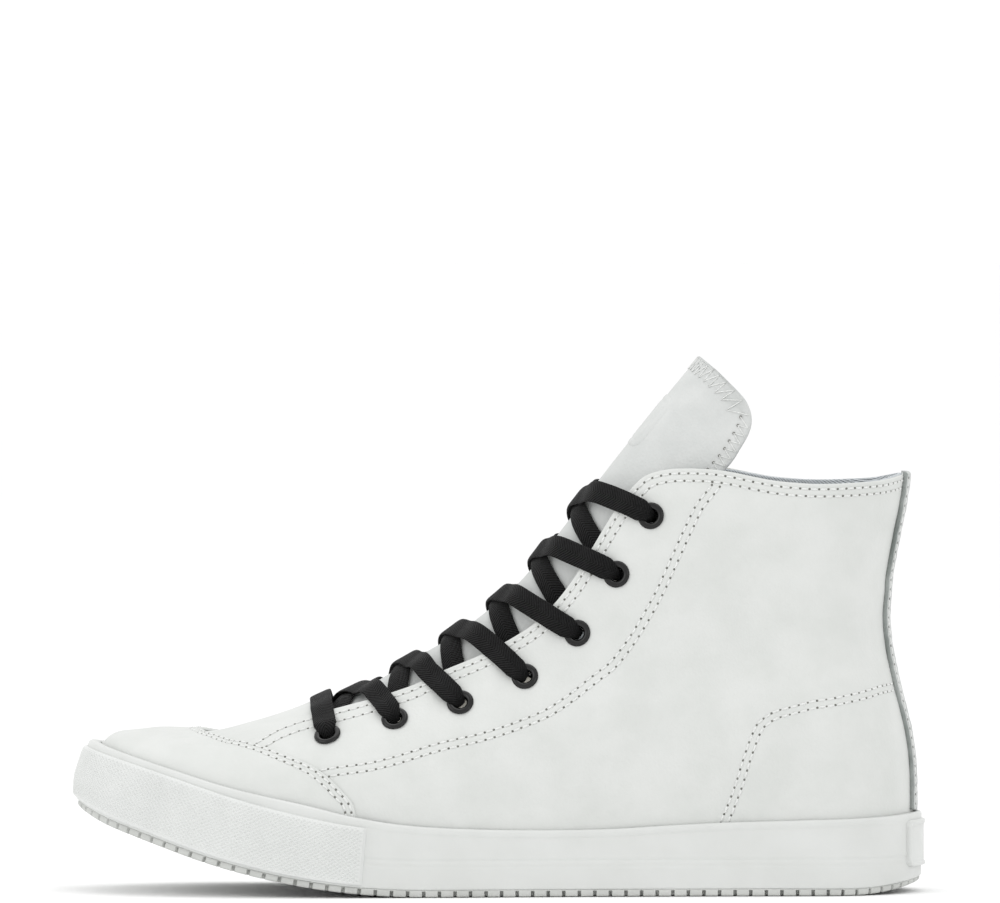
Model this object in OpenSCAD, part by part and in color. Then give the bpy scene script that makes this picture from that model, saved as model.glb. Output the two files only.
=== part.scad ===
// High-top sneaker, left foot: vulcanised rubber sole unit, leather upper, laced throat.
// The toe points along -X, the outer (lateral) side is -Y, and the sole rests on Z = 0.
// The shoe is drawn with a flat sole: s runs heelward along the sole and n stands up from it.
// bend() then rolls the forefoot up into the toe spring. Layers are offsets from the last.

/* [Toe spring] */
// Radius that the forefoot is rolled up to
spring_r = 260; // [230:5:320]
// Angle of the toe above the floor
spring_a = 19.5; // [15:0.5:21]

/* [Leather] */
// Thickness of the vamp
vamp_t = 1; // [0.8:0.1:1.2]
// Thickness of the quarters
quarter_t = 1.3; // [0.9:0.1:1.4]
// Thickness of the toe cap
cap_t = 1.2; // [0.8:0.1:1.3]
// Thickness of the back strip
strip_t = 1.5; // [1:0.1:1.6]
// Thickness of the tongue leather
tongue_t = 1.4; // [1:0.1:1.6]

/* [Rubber] */
// Thickness of the foxing tape round the sole
foxing_t = 2.2; // [1.8:0.1:2.6]
// Thickness of the textured toe bumper
bumper_t = 1.2; // [0.8:0.1:1.6]
// Depth of the tread
tread_t = 2.4; // [2:0.1:3]
// Thickness of the filler between outsole and insole board
filler_t = 5.2; // [4:0.1:5.2]
// Thickness of the removable footbed
footbed_t = 4.6; // [3:0.1:5]

/* [Lacing] */
// Width of the flat lace
lace_w = 8; // [6:0.5:9]
// Thickness of the flat lace
lace_t = 1.2; // [0.9:0.1:1.2]
// Radius of the eyelet's hole
eyelet_bore_r = 2.3; // [2:0.1:2.5]
// Radius of the eyelet's flange
eyelet_flange_r = 4.7; // [4:0.1:5]

/* [Hidden] */
$fn = 48;
LATERAL = -1;
MEDIAL = 1;

// ---- layers, as offsets from the last ----
lining_in = 0.9;
vamp_out = lining_in + vamp_t;
quarter_in = vamp_out + 0.2;
quarter_out = quarter_in + quarter_t;
cap_out = quarter_out + cap_t;
under_lace = -1.4;
tongue_out = under_lace - lace_t / 2 - 0.6;
tongue_in = tongue_out - tongue_t;
tongue_lining_t = 1;
play = 0.05;
cloth_play = 0.3;
rubber_play = 0.2;

// ---- heights above the outsole's bottom ----
outsole_top = 4.4;
board_bottom = outsole_top + filler_t;
board_t = 2;
footbed_bottom = board_bottom + board_t + 0.4;

// ---- the last, each table read by curve() ----
tip_s = -146.8;
spring_s = -25;
toe_r = 60;
heel_r = 30;
// Height of the last's top line over s
ridge = [
    [-146.8, 22.6], [-145.5, 24.2], [-142.4, 26.3], [-135.8, 29.6], [-126, 34.6], [-119, 38.1], [-112, 41.8],
    [-102, 47.4], [-91, 53.2], [-80, 59], [-66, 66.7], [-53, 73.5], [-42, 78.7], [-25, 86.8], [-11, 95.8],
    [5.8, 110.1], [18, 125.3], [33, 145.3], [51, 168], [69, 190], [120, 251.5]
];
// How far back the heel reaches at each height
back = [
    [0, 141.6], [36, 141.6], [46, 141.2], [56, 139.8], [66, 137.4], [76, 135], [86, 133], [96, 132.1],
    [104, 132.6], [111, 133.2], [124, 135.6], [135, 137.8], [147, 139.4], [200, 141]
];
// Sideways shift of the last's middle, towards the inner side of the foot
middle = [
    [-147, 5.6], [-120, 4.6], [-90, 2.1], [-60, -0.9], [-30, -2.9], [0, -4.4], [40, -3.9], [90, -2.4], [140, -1.4]
];
// Half width of the foot over s
foot_half = [
    [-147, 43], [-110, 44.5], [-80, 46], [-60, 46.5], [-30, 43.5], [0, 38.5], [30, 35.5], [60, 34],
    [90, 33.5], [120, 33], [142, 32.5]
];
// Half width of the ankle over height
ankle_half = [[60, 33], [90, 30], [120, 31.5], [147, 34], [190, 35]];
// Depth over which the top line rounds into the sides
ridge_r = [
    [-147, 0.8], [-145.5, 1], [-142.4, 2.2], [-135.8, 5], [-126, 9.2], [-119, 12.6], [-112, 16], [-102, 21.5],
    [-91, 27.5], [-80, 33], [-66, 40], [-42, 50], [-25, 55], [10, 60], [70, 60]
];
// Height of the foxing's top edge over s
foxing_top = [
    [-154, 25], [-142.8, 25.4], [-110.8, 27], [-76, 28.2], [-50, 26.3], [-39.7, 25.4], [-15.5, 23.8],
    [11.2, 23.1], [38.1, 23.4], [58.1, 24.5], [78.3, 25.5], [105, 26.2], [131.8, 27.1], [145.2, 28.4]
];
// Top edge of the textured toe bumper over s
bumper_top = [[-154, 22.2], [-118.5, 24.2], [-83.7, 24.5], [-47, 23.3]];
bumper_end_s = -48;

// ---- seams on the last ----
// The toe cap's rear edge, as s over the share of the way from the top line down to the board
cap_line = [
    [0, -118], [0.18, -114.8], [0.3, -109.2], [0.4, -102.8], [0.445, -98.3], [0.5, -92.2], [0.565, -84.5],
    [0.675, -69.8], [0.77, -59], [0.83, -53.3], [1, -49]
];
// The vamp's rear edge, in the same way
vamp_line = [[0, -72], [0.36, -72], [0.75, -72], [0.86, -62], [1, -52]];
throat_share = 0.46;
stay_share = 0.36;
// Edge of the lacing gap and then the collar, as [s, n]
throat_edge = [
    [-91.5, 48.2], [-84.9, 52.2], [-77.4, 55.6], [-65.4, 59.8], [-55.8, 63], [-40, 67.8], [-28, 71.5],
    [-16.7, 76.4], [-4.7, 81.6], [4.9, 86.8], [14, 92.8], [21, 99.8], [27.5, 108.2], [33.5, 118], [39, 127.2],
    [43.5, 134.2], [48.2, 140.2], [52.7, 144.3]
];
collar_edge = [
    [58.7, 146.4], [65.5, 147.2], [75, 147.2], [82, 146.4], [90, 144.9], [98, 143.7], [111, 143],
    [122, 143.3], [131, 144], [136.5, 145.2], [139.2, 146]
];
// Lower edge of the eyelet stay, inside the quarter
stay_edge = [
    [-68, 36.5], [-46.5, 40.8], [-32, 44.4], [-17.5, 48.2], [-5.2, 51.3], [7.3, 55.3], [18.3, 59.9], [27.2, 65.6],
    [35.9, 72.2], [42.8, 78.6], [48.5, 85.9], [53.4, 93.7], [59, 103.6], [64.7, 115.5], [70, 127], [75.5, 138],
    [82, 146.4]
];
// Front and top edges of the heel patch, inside the quarter
patch_front = [[75, 10], [75.7, 26.2], [78, 33], [80.5, 40], [83.2, 47.6], [85.8, 54.9], [88.6, 61]];
patch_top = [[88.6, 61], [93.2, 65.2], [102, 67.8], [109, 69.2], [115, 70.2], [124, 72.1], [129.5, 73.5], [134.8, 74.4]];
// Eyelet centres, as s along the top line and the place across it that over_instep() takes
eyelet_at = [
    [-73.9, 0.642], [-46.8, 0.774], [-24.4, 0.883], [-7.7, 0.966], [6.5, 0.976], [19.7, 0.941], [33.9, 0.9]
];
strip_depth = 1.3;
strip_bottom = 28.6;
strip_top = 146.6;
tongue_base_s = -84;
tongue_top_s = 68;
// Depth that the tongue reaches down each side over the top line's s
tongue_depth = [
    [-84, 9], [-60, 13], [-25, 20], [10, 25.5], [40, 31.5], [54, 32.8], [58.3, 32], [62, 30.8], [64.6, 28.4],
    [66.4, 24.4], [67.3, 19.6], [68, 8]
];
// A lace end's route inside the quarter, from the top eyelet to its aglet
tail_route = [[54.2, 130.4], [60, 112], [70, 92], [82, 77], [94, 71]];
aglet_end = [113, 62];
aglet_r = 1.6;

// ---- small helpers ----
function clamp(x, lo = 0, hi = 1) = min(max(x, lo), hi);
function smooth(t) = let (u = clamp(t)) u * u * (3 - 2 * u);
function mix(a, b, t) = a * (1 - t) + b * t;
function unit(v) = v / norm(v);
// A quarter circle: 0 at the edge, 1 once the depth is a whole radius
function rounded(t) = sqrt(max(0, 1 - pow(1 - clamp(t), 2)));
function slot_of(t, x, i = 0) = i >= len(t) - 2 || x < t[i + 1][0] ? i : slot_of(t, x, i + 1);
function table_slope(t, i) =
    let (a = max(i - 1, 0), b = min(i + 1, len(t) - 1)) (t[b][1] - t[a][1]) / (t[b][0] - t[a][0]);
// Smooth value of a [x, value] table, held at its ends
function curve(t, x) =
    let (i = slot_of(t, x), h = t[i + 1][0] - t[i][0], u = clamp((x - t[i][0]) / h))
    (1 + 2 * u) * pow(1 - u, 2) * t[i][1] + u * pow(1 - u, 2) * h * table_slope(t, i)
    + u * u * (3 - 2 * u) * t[i + 1][1] + u * u * (u - 1) * h * table_slope(t, i + 1);
// Smooth point at share t along a list of points
function along(pts, t) =
    let (x = clamp(t) * (len(pts) - 1), i = min(floor(x), len(pts) - 2), u = x - i,
         p0 = pts[max(i - 1, 0)], p1 = pts[i], p2 = pts[i + 1], p3 = pts[min(i + 2, len(pts) - 1)])
    0.5 * (2 * p1 + (p2 - p0) * u + (2 * p0 - 5 * p1 + 4 * p2 - p3) * u * u + (3 * p1 - p0 - 3 * p2 + p3) * u * u * u);

// ---- the last ----
function bend(p) =
    let (turn = clamp((spring_s - p[0]) / spring_r * 180 / PI, 0, spring_a),
         straight = max(spring_s - spring_r * spring_a * PI / 180 - p[0], 0), r = spring_r - p[2])
    p[0] >= spring_s ? p
    : [spring_s - r * sin(turn) - straight * cos(spring_a), p[1], spring_r - r * cos(turn) + straight * sin(spring_a)];
function half_width(s, n) = mix(curve(foot_half, s), curve(ankle_half, n), smooth((n - 35) / 50));
function ridge_slope(s) = curve(ridge, s + 0.5) - curve(ridge, s - 0.5);
// A point of the layer d outside the last, seen from the side at [s, n]
function on_last(s, n, d, side) =
    let (steep = atan(ridge_slope(s)), r = clamp((curve(ridge, s) - n) * cos(steep) / curve(ridge_r, s)),
         b = clamp((curve(back, n) - s) / heel_r), t = clamp((s - tip_s) / toe_r),
         y = (half_width(s, n) + d) * rounded(r) * rounded(b) * rounded(t),
         forward = (1 - r) * sin(steep) * smooth((s - tip_s) / 8))
    bend([s + d * (t - b - forward), curve(middle, s) + side * y, n + d * (1 - r) * cos(steep)]);
// How far the sole's bottom edge curls up at the heel and the toe
function end_curl(s) = 4.5 * pow(clamp((s - 122) / 27), 2) + 2.5 * pow(clamp((-136 - s) / 18), 2);
// The same for the sole unit, whose walls stand straight up
function on_sole(s, n, d, side) =
    let (b = clamp((back[0][1] - s) / heel_r), t = clamp((s - tip_s) / toe_r), out = s + d * (t - b))
    bend([out, curve(middle, s) + side * (curve(foot_half, s) + d) * rounded(b) * rounded(t),
        n + end_curl(out) * clamp(1 - n / board_bottom)]);
// A point over the instep: s along the top line, w across it from the outer side (-) to the inner side (+)
instep_reach = 32;
function over_instep(s, w, d) =
    let (steep = atan(ridge_slope(s)), deep = instep_reach * w * w)
    on_last(s + deep * sin(steep), curve(ridge, s) - deep * cos(steep), d, w < 0 ? LATERAL : MEDIAL);
function instep_normal(s, w, d) =
    unit(cross(over_instep(s + 0.5, w, d) - over_instep(s - 0.5, w, d),
        over_instep(s, w + 0.01, d) - over_instep(s, w - 0.01, d)));
function normal_at(s, n, d, side) =
    let (p = on_last(s, n, d, side))
    side * unit(cross(on_last(s, n + 0.5, d, side) - p, on_last(s + 0.5, n, d, side) - p));

// ---- solids from grids of points ----
// A sheet between two grids, closed round its edges; zip leaves out the first row's edge, where the halves meet
module sheet(outer, inner, zip = false) {
    rows = len(outer);
    cols = len(outer[0]);
    count = rows * cols;
    pts = concat([for (r = outer) each r], [for (r = inner) each r]);
    function id(i, j, k) = k * count + i * cols + j;
    function quad(a, b, c, d) = [[a, b, c], [a, c, d]];
    faces = concat(
        [for (i = [0:rows - 2], j = [0:cols - 2]) each quad(id(i, j, 0), id(i + 1, j, 0), id(i + 1, j + 1, 0), id(i, j + 1, 0))],
        [for (i = [0:rows - 2], j = [0:cols - 2]) each quad(id(i, j, 1), id(i, j + 1, 1), id(i + 1, j + 1, 1), id(i + 1, j, 1))],
        [for (i = [0:rows - 2]) each quad(id(i, 0, 0), id(i, 0, 1), id(i + 1, 0, 1), id(i + 1, 0, 0))],
        [for (i = [0:rows - 2]) each quad(id(i, cols - 1, 0), id(i + 1, cols - 1, 0), id(i + 1, cols - 1, 1), id(i, cols - 1, 1))],
        [for (j = [0:cols - 2]) each quad(id(rows - 1, j, 0), id(rows - 1, j, 1), id(rows - 1, j + 1, 1), id(rows - 1, j + 1, 0))],
        zip ? [] : [for (j = [0:cols - 2]) each quad(id(0, j, 0), id(0, j + 1, 0), id(0, j + 1, 1), id(0, j, 1))]
    );
    polyhedron(pts, faces);
}

// Four-sided patch on one side, spanned by its lower, upper, front and back edges
function patch_point(lower, upper, front, rear, u, v) =
    mix(lower(u), upper(u), v) + mix(front(v), rear(v), u)
    - mix(mix(front(0), rear(0), u), mix(front(1), rear(1), u), v);
module patch(side, lower, upper, front, rear, d_in, d_out, cols = 24, rows = 8) {
    spread = [for (i = [0:cols]) 1 - pow(1 - i / cols, 1.6)];
    flat = [for (u = spread) [for (j = [0:rows]) patch_point(lower, upper, front, rear, u, j / rows)]];
    facing_out = [for (r = flat) [for (p = r) on_last(p[0], p[1], d_out, side)]];
    facing_in = [for (r = flat) [for (p = r) on_last(p[0], p[1], d_in, side)]];
    if (side == LATERAL) sheet(facing_in, facing_out);
    else sheet(facing_out, facing_in);
}

// A point of the toe's edge lines: line gives s, and share goes from the top line down to the board
function toe_edge(line, share, shift = 0) =
    let (s = curve(line, share) + shift, top = curve(ridge, s)) [s, top - (top - board_bottom) * share * share];
// Dome over the toe: rows from the tip to the edge line, columns from one side over the top to the other
module toe_dome(line, shift, d_in, d_out, rows = 12, cols = 24) {
    function point(i, j, d) =
        let (share = abs(2 * j / cols - 1), s = mix(tip_s, curve(line, share) + shift, pow(i / rows, 1.7)),
             top = curve(ridge, s))
        on_last(s, top - (top - board_bottom) * share * share, d, j < cols / 2 ? LATERAL : MEDIAL);
    sheet([for (i = [0:rows]) [for (j = [0:cols]) point(i, j, d_in)]],
          [for (i = [0:rows]) [for (j = [0:cols]) point(i, j, d_out)]], zip = true);
}

// Outline stations of the sole: share 0 is the toe tip, 0.5 the heel, and 1 the toe again
function sole_s(share) = mix(tip_s, back[0][1], (1 - cos(360 * share)) / 2);
function side_of(share) = share <= 0.5 ? LATERAL : MEDIAL;
// Band round the sole; section(s) gives its [n, d] corners, bottom inside first, going outwards and up
module sole_band(section, from = 0, to = 1, count = 88) {
    closed = to - from >= 1;
    n_at = closed ? count - 1 : count;
    rings = [for (i = [0:n_at])
        let (share = from + (to - from) * i / count, k = share - floor(share), s = sole_s(k))
        [for (c = section(s)) on_sole(s, c[0], c[1], side_of(k))]];
    corners = len(rings[0]);
    total = len(rings);
    function id(i, j) = (i % total) * corners + j % corners;
    walls = [for (i = [0:closed ? total - 1 : total - 2], j = [0:corners - 1])
        each [[id(i, j), id(i + 1, j), id(i + 1, j + 1)], [id(i, j), id(i + 1, j + 1), id(i, j + 1)]]];
    ends = closed ? [] : [[for (j = [0:corners - 1]) id(0, j)], [for (j = [corners - 1:-1:0]) id(total - 1, j)]];
    polyhedron([for (r = rings) each r], concat(walls, ends));
}

// Filled slab: levels of [n, d] from the bottom up, on the sole's outline or on the last's
module slab(levels, inside = false, half = 40) {
    total = 2 * half;
    function spot(i, level) =
        let (share = i / total, s = sole_s(share))
        inside ? on_last(s, level[0], level[1], side_of(share)) : on_sole(s, level[0], level[1], side_of(share));
    pts = [for (level = levels) for (i = [0:total - 1]) spot(i, level)];
    function id(k, i) = k * total + i % total;
    walls = [for (k = [0:len(levels) - 2], i = [0:total - 1])
        each [[id(k, i), id(k + 1, i), id(k + 1, i + 1)], [id(k, i), id(k + 1, i + 1), id(k, i + 1)]]];
    function cap(k) = concat(
        [[id(k, 0), id(k, 1), id(k, total - 1)]],
        [for (i = [1:half - 2]) [id(k, i), id(k, i + 1), id(k, total - i - 1)]],
        [for (i = [1:half - 2]) [id(k, i), id(k, total - i - 1), id(k, total - i)]],
        [[id(k, half - 1), id(k, half), id(k, half + 1)]]);
    top = len(levels) - 1;
    polyhedron(pts, concat(walls, cap(0), [for (f = cap(top)) [f[2], f[1], f[0]]]));
}

// ---- sole unit ----
// The foxing lies over the toe cap in front, and close to the quarters behind it
function foxing_base(s) = quarter_out + 0.1 + cap_t * smooth((-44 - s) / 8);
function foxing_in(s) = quarter_out + 0.1 + (cap_t + 0.35) * smooth((-34 - s) / 8);
toe_belly = 2.3;
belly_shape = [[2.4, 0], [12, 0.9], [20, 1], [26, 0.7]];
function foxing_out(s, n) =
    foxing_base(s) + foxing_t + 0.5 * smooth((s - 95) / 30)
    + toe_belly * smooth((-116 - s) / 28) * lookup(n, belly_shape);
belly_low = 12;
belly_high = 20;

module outsole() {
    color("whitesmoke") slab([[0, 4.8], [0.9, 5.6], [tread_t, 5.6], [tread_t, 3.3], [outsole_top, 3.3]]);
}

module midsole_filler() {
    color("gainsboro") slab([[outsole_top, 3.3], [board_bottom - 0.1, 3.3]]);
}

module foxing_tape() {
    color("white") sole_band(function(s) let (top = curve(foxing_top, s)) [
        [tread_t, foxing_in(s)], [tread_t, foxing_out(s, tread_t) - 0.5], [tread_t + 0.6, foxing_out(s, tread_t)],
        [belly_low, foxing_out(s, belly_low)], [belly_high, foxing_out(s, belly_high)],
        [top - 0.9, foxing_out(s, top)], [top, foxing_out(s, top) - 0.8], [top, foxing_in(s)]]);
}

bumper_bottom = tread_t + 0.7;
bumper_lip = 0.5;

module toe_bumper() {
    end_share = acos(1 - 2 * (bumper_end_s - tip_s) / (back[0][1] - tip_s)) / 360;
    color("white") sole_band(function(s) let (top = curve(bumper_top, s)) [
        [belly_high, foxing_out(s, belly_high) + rubber_play], [belly_low, foxing_out(s, belly_low) + rubber_play],
        [bumper_bottom, foxing_out(s, bumper_bottom) + rubber_play], [bumper_bottom, foxing_out(s, bumper_bottom) + bumper_t],
        [belly_low, foxing_out(s, belly_low) + bumper_t], [belly_high, foxing_out(s, belly_high) + bumper_t],
        [top - bumper_lip, foxing_out(s, top) + bumper_t], [top, foxing_out(s, top) + rubber_play]],
        from = -end_share, to = end_share, count = 48);
}

module heel_label() {
    span = 0.041;
    low = 8.6;
    high = 25.6;
    color("white") sole_band(function(s) [
        [low, foxing_out(s, low) + rubber_play], [low, foxing_out(s, low) + 1.3],
        [high, foxing_out(s, high) + 1.55], [high, foxing_out(s, high) + rubber_play]],
        from = 0.5 - span, to = 0.5 + span, count = 16);
}

module insole_board() {
    color("tan") slab([[board_bottom, -0.4], [board_bottom + board_t, -0.4]], inside = true);
}

module footbed() {
    color("dimgray") slab([[footbed_bottom, -1.4], [footbed_bottom + footbed_t - 0.8, -1.4],
        [footbed_bottom + footbed_t, -2.2]], inside = true);
}

// ---- upper ----
function line(a, b) = function(t) mix(a, b, t);
function path(pts) = function(t) along(pts, t);
function reverse(l) = [for (i = [len(l) - 1:-1:0]) l[i]];
function beyond(l, s) = [for (p = l) if (p[0] > s) p];
function toe_path(edge, low, high, shift) = function(t) toe_edge(edge, mix(low, high, t), shift);
function heel_path(lo, hi, depth = 0) = function(t) let (n = mix(lo, hi, t)) [curve(back, n) - depth, n];
under_cap = 5;
puff_gap = 9;
quarter_bottom = 10;
quarter_corner = toe_edge(cap_line, throat_share, -under_cap);
top_edge = concat(throat_edge, collar_edge);

module toe_cap() {
    color("white") toe_dome(cap_line, 0, quarter_out, cap_out, rows = 13, cols = 28);
}

module toe_puff() {
    color("lightgray") toe_dome(cap_line, -puff_gap, quarter_in + 0.2, quarter_out - cloth_play, rows = 11, cols = 24);
}

module vamp() {
    color("white") toe_dome(vamp_line, 0, lining_in, vamp_out, rows = 13);
}

module vamp_lining() {
    color("lightsteelblue") toe_dome(vamp_line, 0, 0, lining_in, rows = 13);
}

module turn_to(v) {
    rotate([0, acos(v[2]), atan2(v[1], v[0])]) children();
}

// Stands children on an eyelet's axis, lift above the layer at offset d
module at_eyelet(e, side, d, lift = 0) {
    axis = instep_normal(e[0], side * e[1], quarter_out);
    foot = over_instep(e[0], side * e[1], quarter_out);
    height = (over_instep(e[0], side * e[1], d) - foot) * axis;
    translate(foot + axis * (height + lift)) turn_to(axis) children();
}

module eyelet_holes(side) {
    for (e = eyelet_at)
        at_eyelet(e, side, quarter_in, -4) cylinder(r = eyelet_bore_r + 0.45, h = 9, $fn = 24);
}

// Flat seats that the eyelets' flanges and washers press into the leather and the lining
module flange_seats(side) {
    for (e = eyelet_at)
        at_eyelet(e, side, quarter_out, 0.07) cylinder(r = eyelet_flange_r + 0.1, h = 3, $fn = 24);
}

module washer_seats(side) {
    for (e = eyelet_at)
        at_eyelet(e, side, 0, -3.03) cylinder(r = eyelet_flange_r - 0.55, h = 3, $fn = 24);
}

module quarter(side) {
    front = toe_path(cap_line, 1, throat_share, -under_cap);
    color("white") difference() {
        patch(side, line(front(0), [back[0][1], quarter_bottom]), path(concat([front(1)], top_edge)),
            front, heel_path(quarter_bottom, 146), quarter_in, quarter_out, cols = 34, rows = 10);
        eyelet_holes(side);
        flange_seats(side);
    }
}

module quarter_lining(side) {
    front = toe_path(vamp_line, 1, stay_share, 0.6);
    color("lightsteelblue") difference() {
        patch(side, line(front(0), [back[0][1], quarter_bottom]), path(concat([front(1)], beyond(top_edge, -66))),
            front, heel_path(quarter_bottom, 146), 0, lining_in, cols = 32, rows = 9);
        eyelet_holes(side);
        washer_seats(side);
    }
}

module eyestay(side) {
    corner = [-68, 58.8];
    last_point = stay_edge[len(stay_edge) - 1];
    top = [for (p = top_edge) if (p[0] > 52 && p[0] < last_point[0]) p];
    color("white") difference() {
        patch(side, path(stay_edge), path(concat([corner], [for (p = throat_edge) if (p[0] > -66) p])),
            line(stay_edge[0], corner), path(concat([last_point], reverse(top))),
            lining_in + 0.65, quarter_in - 0.2, cols = 28, rows = 5);
        eyelet_holes(side);
    }
}

module heel_patch(side) {
    top = 74.6;
    color("white") patch(side, line(patch_front[0], [back[0][1] - play, quarter_bottom]),
        path(concat(patch_top, [[curve(back, top) - play, top]])), path(patch_front),
        heel_path(quarter_bottom, top, play), lining_in + cloth_play, quarter_in - 0.45, cols = 16, rows = 8);
}

// Sheet across the back seam: depth(share) is how far forward it reaches on each side
module back_sheet(lo, hi, depth, d_in, d_out, rows, cols) {
    function point(i, j, d) =
        let (n = mix(lo, hi, i / rows), share = 2 * j / cols - 1)
        on_last(curve(back, n) - depth * share * share, n, d, share < 0 ? LATERAL : MEDIAL);
    sheet([for (i = [0:rows]) [for (j = [0:cols]) point(i, j, d_out)]],
          [for (i = [0:rows]) [for (j = [0:cols]) point(i, j, d_in)]]);
}

module back_strip() {
    color("silver") back_sheet(strip_bottom, strip_top, strip_depth, quarter_out + 0.4, quarter_out + strip_t, 20, 8);
}

// ---- tongue ----
module tongue_sheet(d_in, d_out, inset = 0, from = tongue_base_s, to = tongue_top_s, rows = 30, cols = 14) {
    function point(i, j, d) =
        let (s = mix(from, to, 1 - pow(1 - i / rows, 1.5)), share = 2 * j / cols - 1,
             w = share * sqrt((curve(tongue_depth, s) - inset) / instep_reach))
        over_instep(s, w, d);
    sheet([for (i = [0:rows]) [for (j = [0:cols]) point(i, j, d_in)]],
          [for (i = [0:rows]) [for (j = [0:cols]) point(i, j, d_out)]]);
}

module tongue() {
    color("whitesmoke") tongue_sheet(tongue_in, tongue_out);
}

module tongue_lining() {
    color("lightsteelblue")
        tongue_sheet(tongue_in - tongue_lining_t, tongue_in - cloth_play, inset = 3, to = tongue_top_s - 1.2, rows = 26, cols = 12);
}

module tongue_patch() {
    half = 6;
    function point(i, j, d) = over_instep(mix(43, 57, i / 4), (j - half / 2) / half * 0.34, d);
    color("whitesmoke") sheet(
        [for (i = [0:4]) [for (j = [0:half]) point(i, j, tongue_out + play)]],
        [for (i = [0:4]) [for (j = [0:half]) point(i, j, tongue_out + 0.7)]]);
}

// ---- eyelets and lace ----
washer_t = 0.35;
barrel_r = eyelet_bore_r + 0.35;
flange_t = 1;

module eyelet() {
    depth = quarter_out + washer_t + 0.05;
    rotate_extrude() polygon([
        [eyelet_bore_r, -depth], [barrel_r, -depth], [barrel_r, 0], [eyelet_flange_r, 0], [eyelet_flange_r, 0.3],
        [eyelet_flange_r - 0.5, 0.8], [eyelet_flange_r - 1.2, flange_t], [eyelet_bore_r + 0.6, 0.8],
        [eyelet_bore_r, 0.2]]);
}

module eyelets(side) {
    color("black") for (e = eyelet_at) at_eyelet(e, side, quarter_out, 0.1) eyelet();
}

module eyelet_washers(side) {
    color("black") for (e = eyelet_at) at_eyelet(e, side, 0, -washer_t - 0.05) difference() {
        cylinder(r = eyelet_flange_r - 0.7, h = washer_t);
        translate([0, 0, -1]) cylinder(r = barrel_r + 0.02, h = washer_t + 2);
    }
}

// A flat strap along place(u) for u from 0 to 1, lying square to the normal up(u)
module strap(place, up, stations = 14) {
    step = 0.004;
    function edge(u, j, h) =
        let (run = unit(place(min(u + step, 1)) - place(max(u - step, 0))), across = unit(cross(up(u), run)))
        place(u) + across * j * lace_w / 2 + cross(run, across) * h * lace_t / 2;
    sheet([for (i = [0:stations]) [for (j = [-1:1]) edge(i / stations, j, -1)]],
          [for (i = [0:stations]) [for (j = [-1:1]) edge(i / stations, j, 1)]]);
}

lace_on_quarter = quarter_out + flange_t + lace_t / 2 + 0.45;
lace_in_throat = quarter_out + lace_t / 2 + 0.2;
// Height of a crossing strand: up from under one quarter, over the tongue, and onto the other quarter.
// The strand that ends on the outer side passes over the one that ends on the inner side.
function strand_lift(u, over) =
    let (hop = over ? lace_t + 0.3 : 0)
    under_lace + hop * smooth((u - 0.13) / 0.22) + (lace_in_throat - under_lace - hop) * smooth((u - 0.61) / 0.18)
    + (lace_on_quarter - lace_in_throat) * smooth((u - 0.86) / 0.08);

module strand(k, from_side) {
    a = [eyelet_at[k][0], from_side * eyelet_at[k][1]];
    b = [eyelet_at[k + 1][0], -from_side * eyelet_at[k + 1][1]];
    over = from_side == MEDIAL;
    strap(function(u) let (c = mix(a, b, u)) over_instep(c[0], c[1], strand_lift(u, over)),
        function(u) let (c = mix(a, b, u)) instep_normal(c[0], c[1], 0));
}

// The bar across the lowest pair of eyelets
module bar() {
    e = eyelet_at[0];
    function lift(u) =
        let (v = min(u, 1 - u))
        lace_on_quarter - (lace_on_quarter - lace_in_throat) * smooth((v - 0.05) / 0.08)
        - (quarter_out - quarter_in) * smooth((v - 0.2) / 0.14);
    strap(function(u) over_instep(e[0], mix(-1, 1, u) * e[1], lift(u)),
        function(u) instep_normal(e[0], mix(-1, 1, u) * e[1], 0));
}

module tail(side) {
    strap(function(u) let (p = along(tail_route, u)) on_last(p[0], p[1], under_lace, side),
        function(u) let (p = along(tail_route, u)) normal_at(p[0], p[1], under_lace, side));
}

module lace() {
    color("black") {
        bar();
        for (k = [0:len(eyelet_at) - 2], side = [LATERAL, MEDIAL]) strand(k, side);
        for (side = [LATERAL, MEDIAL]) tail(side);
        for (e = eyelet_at, side = [LATERAL, MEDIAL])
            at_eyelet(e, side, under_lace, lace_t / 2)
                cylinder(r = eyelet_bore_r - play, h = lace_on_quarter - under_lace - lace_t - 0.1);
    }
}

module aglets() {
    start = tail_route[len(tail_route) - 1];
    depth = under_lace - 0.9;
    color("black") for (side = [LATERAL, MEDIAL]) {
        a = on_last(start[0] + 0.8, start[1], depth, side);
        b = on_last(aglet_end[0], aglet_end[1], depth, side);
        translate(a) turn_to(unit(b - a)) cylinder(r = aglet_r, h = norm(b - a));
    }
}

outsole();
midsole_filler();
foxing_tape();
toe_bumper();
heel_label();
insole_board();
footbed();
toe_cap();
toe_puff();
vamp();
vamp_lining();
quarter(LATERAL);  // quarter_lateral
quarter(MEDIAL);  // quarter_medial
quarter_lining(LATERAL);  // lining_lateral
quarter_lining(MEDIAL);  // lining_medial
eyestay(LATERAL);  // eyestay_lateral
eyestay(MEDIAL);  // eyestay_medial
heel_patch(LATERAL);  // heel_patch_lateral
heel_patch(MEDIAL);  // heel_patch_medial
back_strip();
tongue();
tongue_lining();
tongue_patch();
eyelets(LATERAL);  // eyelets_lateral
eyelets(MEDIAL);  // eyelets_medial
eyelet_washers(LATERAL);  // eyelet_washers_lateral
eyelet_washers(MEDIAL);  // eyelet_washers_medial
lace();
aglets();
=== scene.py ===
import math

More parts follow.
